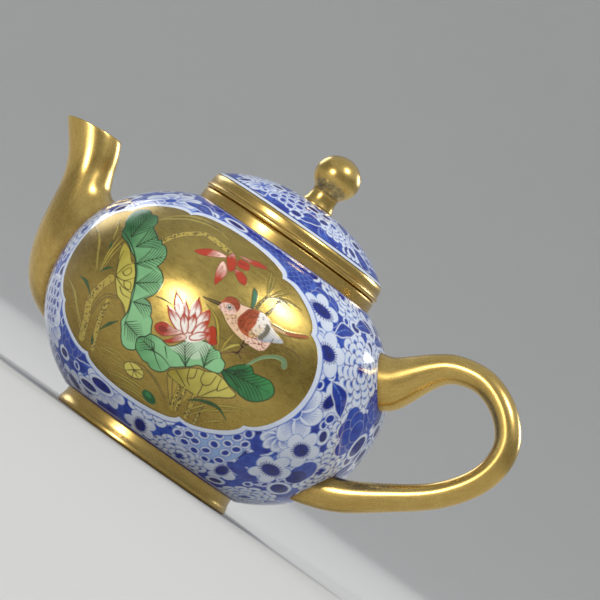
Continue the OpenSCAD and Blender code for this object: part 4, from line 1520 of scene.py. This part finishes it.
def paintBird(patch):
    ink = enamels["ink"]
    rust = tint(150, 66, 36)
    cream = tint(214, 180, 128)
    patch.fill([(11.5, 56.5), (15, 54.5), (18, 52.8), (22, 51.6), (26, 51.2), (30, 51.4), (31.5, 53.4),
                (31, 57), (28, 61), (24, 62.2), (20.5, 61.3), (17, 60.6), (14, 60.5)],
               shaded(cream, enamels["blush"], (12, 52), (26, 60), 4), height=0.055)
    patch.fill([(12, 58.8), (12.4, 60.2), (14.6, 61.2), (17, 60.3), (17.8, 58.6), (17.2, 56.4), (14.6, 55.2),
                (11.8, 56.2)], shaded(tint(190, 100, 60), rust, (11, 56), (16, 60), 2))
    patch.stroke([(29, 60.5), (33, 61.4), (37.3, 64)], (2.2, 1.5, 1.2), cream, None, 0.95, 0.05)
    patch.stroke([(33, 61.4), (35.5, 62.6), (37.6, 64.2)], (0.8, 1.5, 1.1), tint(170, 84, 34), None,
                 0.9, 0.05)
    patch.stroke([(28, 60.9), (33, 62), (37.2, 64.6)], 0.25, ink, None, 0.9)
    patch.stroke([(29, 59.9), (33.4, 60.8), (37.8, 63.6)], 0.25, ink, None, 0.9)
    patch.fill([(19.5, 59), (20, 60.8), (22, 62), (24.5, 61.6), (26, 57), (26.5, 53.8), (24, 53),
                (21.2, 53.8), (19.3, 56)],
               shaded(rust, tint(196, 104, 66), (20, 57), (26, 57), 2, 3), height=0.06)
    patch.fill([(23.2, 62), (26.4, 61.6), (28.4, 59.8), (27.8, 56), (26, 53.6), (24.6, 54.4), (24.6, 58)],
               shaded(enamels["white"], cream, (25, 60), (27, 54), 2), height=0.06)
    patch.fill([(28, 60), (31, 59.3), (34.2, 58.2), (31.5, 56), (29, 54.3), (27.5, 54.8)],
               shaded(enamels["white"], enamels["slate"], (29, 59), (31, 55), 3), height=0.06)
    patch.fill([(27, 60), (28.7, 59.6), (29.3, 57), (28.6, 54.6), (27.4, 55), (27.8, 57.5)],
               tint(120, 116, 100))
    for k in range(6):
        patch.stroke([(28.2, 59.4 - k * 0.8), (33.5 - k * 0.55, 58.4 - k * 0.55)], 0.16, ink, None,
                     0.5, steps=1)
    rng = np.random.default_rng(4)
    for _ in range(150):
        x = rng.uniform(12.5, 31)
        low = 54.6 - (x - 14) * 0.28 if x < 24 else 51.6
        y = rng.uniform(low, low + 3.6)
        patch.disc(x, y, 0.2, 0.16, tint(130, 72, 40), 0, 0.85)
    for _ in range(70):
        patch.disc(rng.uniform(19.8, 27.8), rng.uniform(54, 61.4), 0.2, 0.15, tint(84, 34, 20), 0, 0.75)
    for x in (20.6, 21.9, 23.2):
        patch.stroke([(x, 61), (x - 0.3, 57), (x + 0.6, 54)], 0.2, tint(110, 40, 24), None, 0.7)
    patch.fill([(12.4, 57.6), (14, 58.6), (16, 58.6), (17.6, 57.4), (17, 55.8), (14.4, 55), (12.2, 56)],
               enamels["blush"], None, 0.85)
    for _ in range(60):
        patch.disc(rng.uniform(12.4, 17.4), rng.uniform(55.2, 60.6), 0.17, 0.13, tint(96, 40, 24), 0, 0.8)
    patch.disc(15, 57.6, 1.1, 0.95, ink)
    patch.disc(15, 57.6, 0.86, 0.72, enamels["white"])
    patch.disc(15, 57.6, 0.62, 0.56, tint(30, 22, 14))
    patch.disc(14.8, 57.8, 0.18, 0.16, enamels["white"])
    for points in ([(11.9, 57), (9, 56.2), (6.2, 55.4)], [(11.8, 56.2), (9, 55.6), (6.2, 55.2)]):
        patch.stroke(points, (0.75, 0.5, 0.2), tint(50, 40, 28), None, 0.95)
    for points in ([(17.5, 60.6), (20.3, 61.6), (24, 62.5), (28.3, 61)],
                   [(13, 55.4), (17, 53), (22, 51.3), (26, 50.9), (31, 51.4)],
                   [(31.4, 57.4), (31.7, 54.4), (31.4, 51.4)],
                   [(12, 59.4), (13.2, 60.8), (15.4, 61.2), (17.4, 60.6)]):
        patch.stroke(points, 0.26, ink, None, 0.85)
    for points in ([(25, 51.4), (25.6, 48.6), (25.5, 46)], [(26.6, 51.2), (25.9, 49.6), (25.7, 47)],
                   [(24.6, 49.8), (26, 49.4), (27.6, 49.6)], [(24.4, 46.3), (26, 46.8), (27.4, 46)],
                   [(25, 50.4), (26.4, 50.6)]):
        patch.stroke(points, 0.5, tint(58, 36, 22), None, 0.9)


def paintRightGrasses(patch):
    straw = enamels["straw"]
    ink = enamels["ink"]
    patch.stroke([(21.5, 43.6), (26, 47.5), (30, 50)], (0.5, 0.7, 0.4), tint(92, 60, 34), None, 0.9)
    blade(patch, [(8.5, 54), (14, 52), (18, 47.6), (20, 44)], 1.4, straw, ink)
    blade(patch, [(21.2, 43.8), (21, 47), (21.3, 51)], 1.0, straw, ink)
    blade(patch, [(21.5, 44.6), (23, 47.6), (25.2, 50)], 1.6, enamels["yellow"], ink)
    for shift in (0, 1.5):
        patch.stroke([(31, 55.6 - shift * 0.4), (35.5, 57.6 - shift), (40, 57.4 - shift), (44, 53.5)],
                     (0.3, 0.55, 0.2), ink, None, 0.85)
    patch.stroke([(30, 45.6), (32, 50), (35, 53), (37.5, 53.6), (38.6, 52)], (0.8, 1.3, 1.7), enamels["grey"],
                 None, 0.9, 0.04)
    patch.stroke([(30.4, 46), (32.4, 50), (35, 52.5), (37.6, 53)], 0.3, enamels["mint"], None, 0.5)
    for points in ([(16, 75), (18.5, 71.5), (21, 67.6)], [(23.5, 74), (22.6, 71), (21.5, 67.6)],
                   [(31, 70.5), (26, 70.2), (22, 68)], [(17.6, 74.6), (19.6, 71.5), (21.3, 68)],
                   [(28, 69.2), (24.6, 69.4), (21.8, 68)], [(25, 73), (23.6, 70), (21.8, 67.4)]):
        blade(patch, points, 0.9, straw, ink, 0.8)
    bud = [(16.5, 67.3), (18.5, 66.4), (20, 64), (20.6, 61.2), (18.8, 63.6), (17.4, 65.6)]
    patch.fill(bud, tint(70, 126, 96))
    patch.outline(bud, 0.25, enamels["leafInk"])
    dottedStalk(patch, [(21.3, 67.6), (21.2, 65), (21.4, 62.6)], 0.8, straw, ink)
    dottedStalk(patch, [(24.6, 69.6), (25.2, 66), (25, 62.8)], 0.8, straw, ink)
    patch.stroke([(-6.5, 46.8), (-3.5, 47.4), (0, 47.6)], (0.4, 0.6, 0.3), enamels["leafInk"], None, 0.7)


def paintSecondLotus(patch):
    # stands where the bird is on the front
    for x, z, turn, long, wide in ((25, 60, 90, 11, 4.4), (22, 59, 118, 10, 4), (28, 59, 62, 10, 4),
                                   (20, 56.5, 148, 9.5, 3.6), (30, 56.5, 32, 9.5, 3.6),
                                   (23.4, 58, 104, 8, 3.4), (26.6, 58, 76, 8, 3.4)):
        a = math.radians(turn)
        tip = (x + long * 0.5 * math.cos(a), z + long * 0.5 * math.sin(a))
        slimPetal(patch, tip, (25 + (x - 25) * 0.3, 53.5), wide)
    patch.fill([(20, 54), (22.5, 55.4), (25, 54.6), (27.5, 55.4), (30, 54), (27, 51.8), (25, 51.4),
                (23, 51.8)], shaded(enamels["rust"], enamels["blush"], (25, 51.5), (25, 55), 3))
    patch.stroke([(25, 51.6), (25.4, 47), (24.6, 43)], 1.2, enamels["grey"], None, 0.9)


def ringZones(count, rings):
    # rings of points from the outline inwards, with half as many points each time the ring has shrunk by half
    zones = []
    edges = (1.0, 0.5, 0.25, 0.12, 0.015)
    for k in range(4):
        spokes = count >> k
        steps = max(2, int(rings * (edges[k] - edges[k + 1])))
        shares = np.linspace(edges[k], edges[k + 1], steps, endpoint=False)
        zones += [(share, spokes) for share in shares]
    return zones


def zoneFaces(zones, first):
    # quads within a zone, three triangles a step between zones, and a fan round the middle point
    quads = []
    triangles = []
    start = first
    for (_, outer), (_, inner) in zip(zones[:-1], zones[1:]):
        after = start + outer
        k = np.arange(inner)
        n = (k + 1) % inner
        if inner == outer:
            quads.append(np.stack([start + k, start + n, after + n, after + k], -1))
        else:
            a = start + 2 * k
            c = start + (2 * k + 2) % outer
            triangles.append(np.stack([a, a + 1, after + k], -1))
            triangles.append(np.stack([a + 1, c, after + n], -1))
            triangles.append(np.stack([a + 1, after + n, after + k], -1))
        start = after
    last = zones[-1][1]
    k = np.arange(last)
    hub = start + last
    triangles.append(np.stack([start + k, start + (k + 1) % last, np.full(last, hub)], -1))
    return np.concatenate(quads), np.concatenate(triangles), hub + 1


def zonePlaces(zones):
    # x and height of every point, and how far in from the outline it is
    x = []
    z = []
    share = []
    for part, spokes in zones + [(0.0, 1)]:
        angle = np.arange(spokes) * 360 / spokes
        reach = panelEdge(angle) * part
        x.append(reach * np.cos(np.radians(angle)))
        z.append(reach * np.sin(np.radians(angle)) + panelMiddle)
        share.append(np.full(spokes, part))
    return np.concatenate(x), np.concatenate(z), np.concatenate(share)


def onBody(x, z, proud, side):
    radius = ovalRadius(z, proud)
    return np.stack([x, side * np.sqrt(np.maximum(radius**2 - x**2, 0)), z], -1)


def paintGoldAndShade(patch):
    # burnished gold ground with painted shade: darker and browner to the left and along the edge, which
    # leaves the middle brighter, plus slow uneven variation and fine brush marks
    x = patch.x
    y = patch.y
    # painted shade: how far a point lies towards the left and towards the edge darkens the gold
    left = np.clip((-14 - x) / 34, 0, 1)
    edge = np.clip((np.hypot(x / 47, (y - panelMiddle) / 32) - 0.62) / 0.38, 0, 1)
    share = 0.24 + 0.1 * wash(x, y, 26, 5) + 0.04 * wash(x, y, 6, 8) + 0.5 * left + 0.24 * edge
    patch.canvas.colour[patch.cells] = blended(enamels["goldLight"], enamels["goldDark"], share)
    rng = np.random.default_rng(21)
    for _ in range(420):
        cx = rng.uniform(-47, 47)
        cy = rng.uniform(15, 79)
        length = rng.uniform(1.5, 6)
        a = rng.normal(0.1, 0.35)
        end = (cx + length * math.cos(a), cy + length * math.sin(a))
        shade = enamels["goldDark"] * 0.7 if rng.random() < 0.6 else enamels["goldLight"] * 1.15
        patch.stroke([(cx, cy), end], (0.1, 0.3, 0.1), shade, None, rng.uniform(0.12, 0.4), 0, 2)
    patch.canvas.enamel[:] = 0
    patch.canvas.height[:] = 0


def makePanel(name, node, side):
    spokes = panel["spokes"]
    zones = ringZones(spokes, panel["rings"])
    under = ringZones(spokes, panel["underRings"])
    x, z, share = zonePlaces(zones)
    canvas = Canvas(len(x), panel["pitch"], enamels["goldLight"], 0)
    patch = Patch(canvas, np.arange(len(x)), x, z)
    paintGoldAndShade(patch)
    paintLeftGrasses(patch)
    paintLeaves(patch)
    paintWater(patch)
    paintFlowers(patch)
    paintRightGrasses(patch)
    if side < 0:
        paintBird(patch)
    else:
        paintSecondLotus(patch)
    inward = np.clip((1 - share) * panel["meanReach"] / panel["easing"], 0, 1)
    rounding = np.sqrt(1 - (1 - inward) ** 2)
    proud = panel["edgeProud"] + (panel["proud"] - panel["edgeProud"]) * rounding + canvas.height * rounding
    bx, bz, _ = zonePlaces(under)
    points = np.concatenate([onBody(x, z, proud, side), onBody(bx, bz, panel["deep"], side)])
    quads, triangles, count = zoneFaces(zones, 0)
    lowQuads, lowTriangles, _ = zoneFaces(under, count)
    k = np.arange(spokes)
    n = (k + 1) % spokes
    wall = np.stack([k, count + k, count + n, n], -1)
    faces = [quads, lowQuads[:, ::-1], wall, triangles, lowTriangles[:, ::-1]]
    if side > 0:
        faces = [f[:, ::-1] for f in faces]
    colour = np.ones((len(points), 4))
    colour[:, :3] = enamels["goldDark"]
    colour[:len(x), :3] = canvas.colour
    enamel = np.zeros(len(points))
    enamel[:len(x)] = canvas.enamel
    values = {"paint": ("FLOAT_COLOR", "color", colour), "enamel": ("FLOAT", "value", enamel)}
    makePiece(name, points, faces, goldPicture, "pot", (node,), values, None, None)


makePanel("frontPicture", "front_panel", -1)
makePanel("backPicture", "back_panel", 1)
print("panels painted")


# the lid's dome: motifs are placed by their distance from the knob and their angle round it
dome = {"rows": 124, "columns": 800, "wall": 3.2, "innerRows": 16, "ventAt": 13.8, "ventRadius": 1.3,
        "ventDepth": 2.7, "pitch": 0.24}


def domeArc(edge, low, rise, foot, count):
    # an arc from the edge up to the flat spot under the knob
    span = edge - foot
    reach = (span * span + rise * rise) / (2 * rise)
    angle = math.asin(span / reach) * (1 - np.linspace(0, 1, count))
    return np.stack([foot + reach * np.sin(angle), low + rise - reach * (1 - np.cos(angle))], -1)


def domeMotif(whole, distance, around, reach, turn=0):
    a = math.radians(around)
    return whole.local(distance * math.sin(a), -distance * math.cos(a), around + turn, reach)


def paintDome(whole):
    rng = np.random.default_rng(8)
    share = 0.4 + 0.5 * wash(whole.x, whole.y, 6, 3)
    whole.lay(whole.cells, np.ones(len(whole.x)), blended(blues["deep"], blues["mid"], share))
    for _ in range(360):
        patch = domeMotif(whole, rng.uniform(8, 33), rng.uniform(0, 360), 2.4, rng.uniform(0, 180))
        patch.stroke([(-1.3, 0), (0, 0.4), (1.3, 0)], (0.2, 0.4, 0.15), blues["pale"], None, 0.7, steps=3)
    for k in range(12):
        patch = domeMotif(whole, 13 + 2 * (k % 2), k * 30 + 12, 9)
        patch.disc(0, 0, 4.6, 4.0, blues["white"], 0, 0.95)
        patch.disc(0, -3, 3.6, 3.2, blues["white"], 0, 0.9)
    for k in range(4):
        podFlower(domeMotif(whole, 22, k * 90 - 4, 16), 8.6, k)
        peony(domeMotif(whole, 22.5, k * 90 + 40, 16), 7.2, k + 3)
        fanFlower(domeMotif(whole, 27, k * 90 + 64, 12), 5.2)
        for around, distance, turn in ((20, 28.5, 25), (-28, 17.5, 60), (60, 17, -30), (28, 14.5, 80),
                                       (-21, 29, 150)):
            blueLeaf(domeMotif(whole, distance, k * 90 + around, 10, turn), 9.5, 4.6)
        for around, distance, wide in ((-22, 24, 2.3), (17, 20, 2.2), (0, 11.6, 2.9), (46, 12, 2.2),
                                       (66, 21.5, 2.1)):
            darkOval(domeMotif(whole, distance, k * 90 + around, 7, 10), wide, wide * 0.62)
        for around, distance in ((-12, 12.5), (33, 18.4), (52, 30), (74, 12.5), (10, 30),
                                 (-33, 29.6), (30, 24.5)):
            thistle(domeMotif(whole, distance, k * 90 + around, 5), 1.7, 1.15, around)
        for around, distance in ((-17, 19), (24, 11), (-6, 31.6), (36, 31), (72, 28.6)):
            curl(domeMotif(whole, distance, k * 90 + around, 3), 1.6, rng)
    far = np.hypot(whole.x, whole.y)
    edge = domeHigh[0]
    for low, high, colour in ((edge - 1.5, edge - 1.05, blues["dark"]),
                              (edge - 1.05, edge + 1, blues["white"]), (0, 7.3, blues["white"]),
                              (7.3, 7.55, blues["mid"])):
        whole.lay(whole.cells, bandCover(far, low, high, 0.2), colour)


def makeDome():
    edge = domeHigh[0]
    low = domeLow[2]
    top = domeHigh[2]
    foot = knob["foot"]
    inner = flangeHigh[0] - flange["wall"]
    outer = domeArc(edge, low, top - low, foot, dome["rows"])
    under = domeArc(inner, low, top - low - dome["wall"], foot, dome["innerRows"])[::-1]
    cap = np.array([(foot - 0.1, top), (0.02, top), (0.02, top - dome["wall"])])
    base = np.array([(inner + 0.1, low), (edge - 0.1, low)])
    line = np.concatenate([outer, cap, under, base])
    columns = dome["columns"]
    points = turned(line, columns)
    count = dome["rows"] * columns
    x = points[:count, 0]
    y = points[:count, 1]
    canvas = Canvas(count, dome["pitch"], blues["white"], 1)
    paintDome(Patch(canvas, np.arange(count), x, y))
    away = np.hypot(x, y - dome["ventAt"])
    down = np.clip((dome["ventRadius"] + 0.08 - away) / 0.22, 0, 1)
    points[:count, 2] -= down * dome["ventDepth"]
    # painted shade: the sunk vent is coloured a darker white
    canvas.colour[down > 0.3] = blues["white"] * 0.7
    rows = len(line)
    faces = gridFaces(rows + 1, columns) % (rows * columns)
    along = np.concatenate([[0], np.cumsum(np.hypot(*np.diff(line, axis=0).T))])
    around = np.tile(np.arange(columns) / columns, rows)
    uv = np.stack([around, np.repeat(along / along[-1] * 0.99, columns)], -1)
    colour = np.ones((len(points), 4))
    colour[:, :3] = blues["white"]
    colour[:count, :3] = canvas.colour
    values = {"paint": ("FLOAT_COLOR", "color", colour)}
    makePiece("lidDome", points, [faces], blueGlaze, "lid", ("lid_dome",), values, uv, None)


makeDome()
print("lid painted")
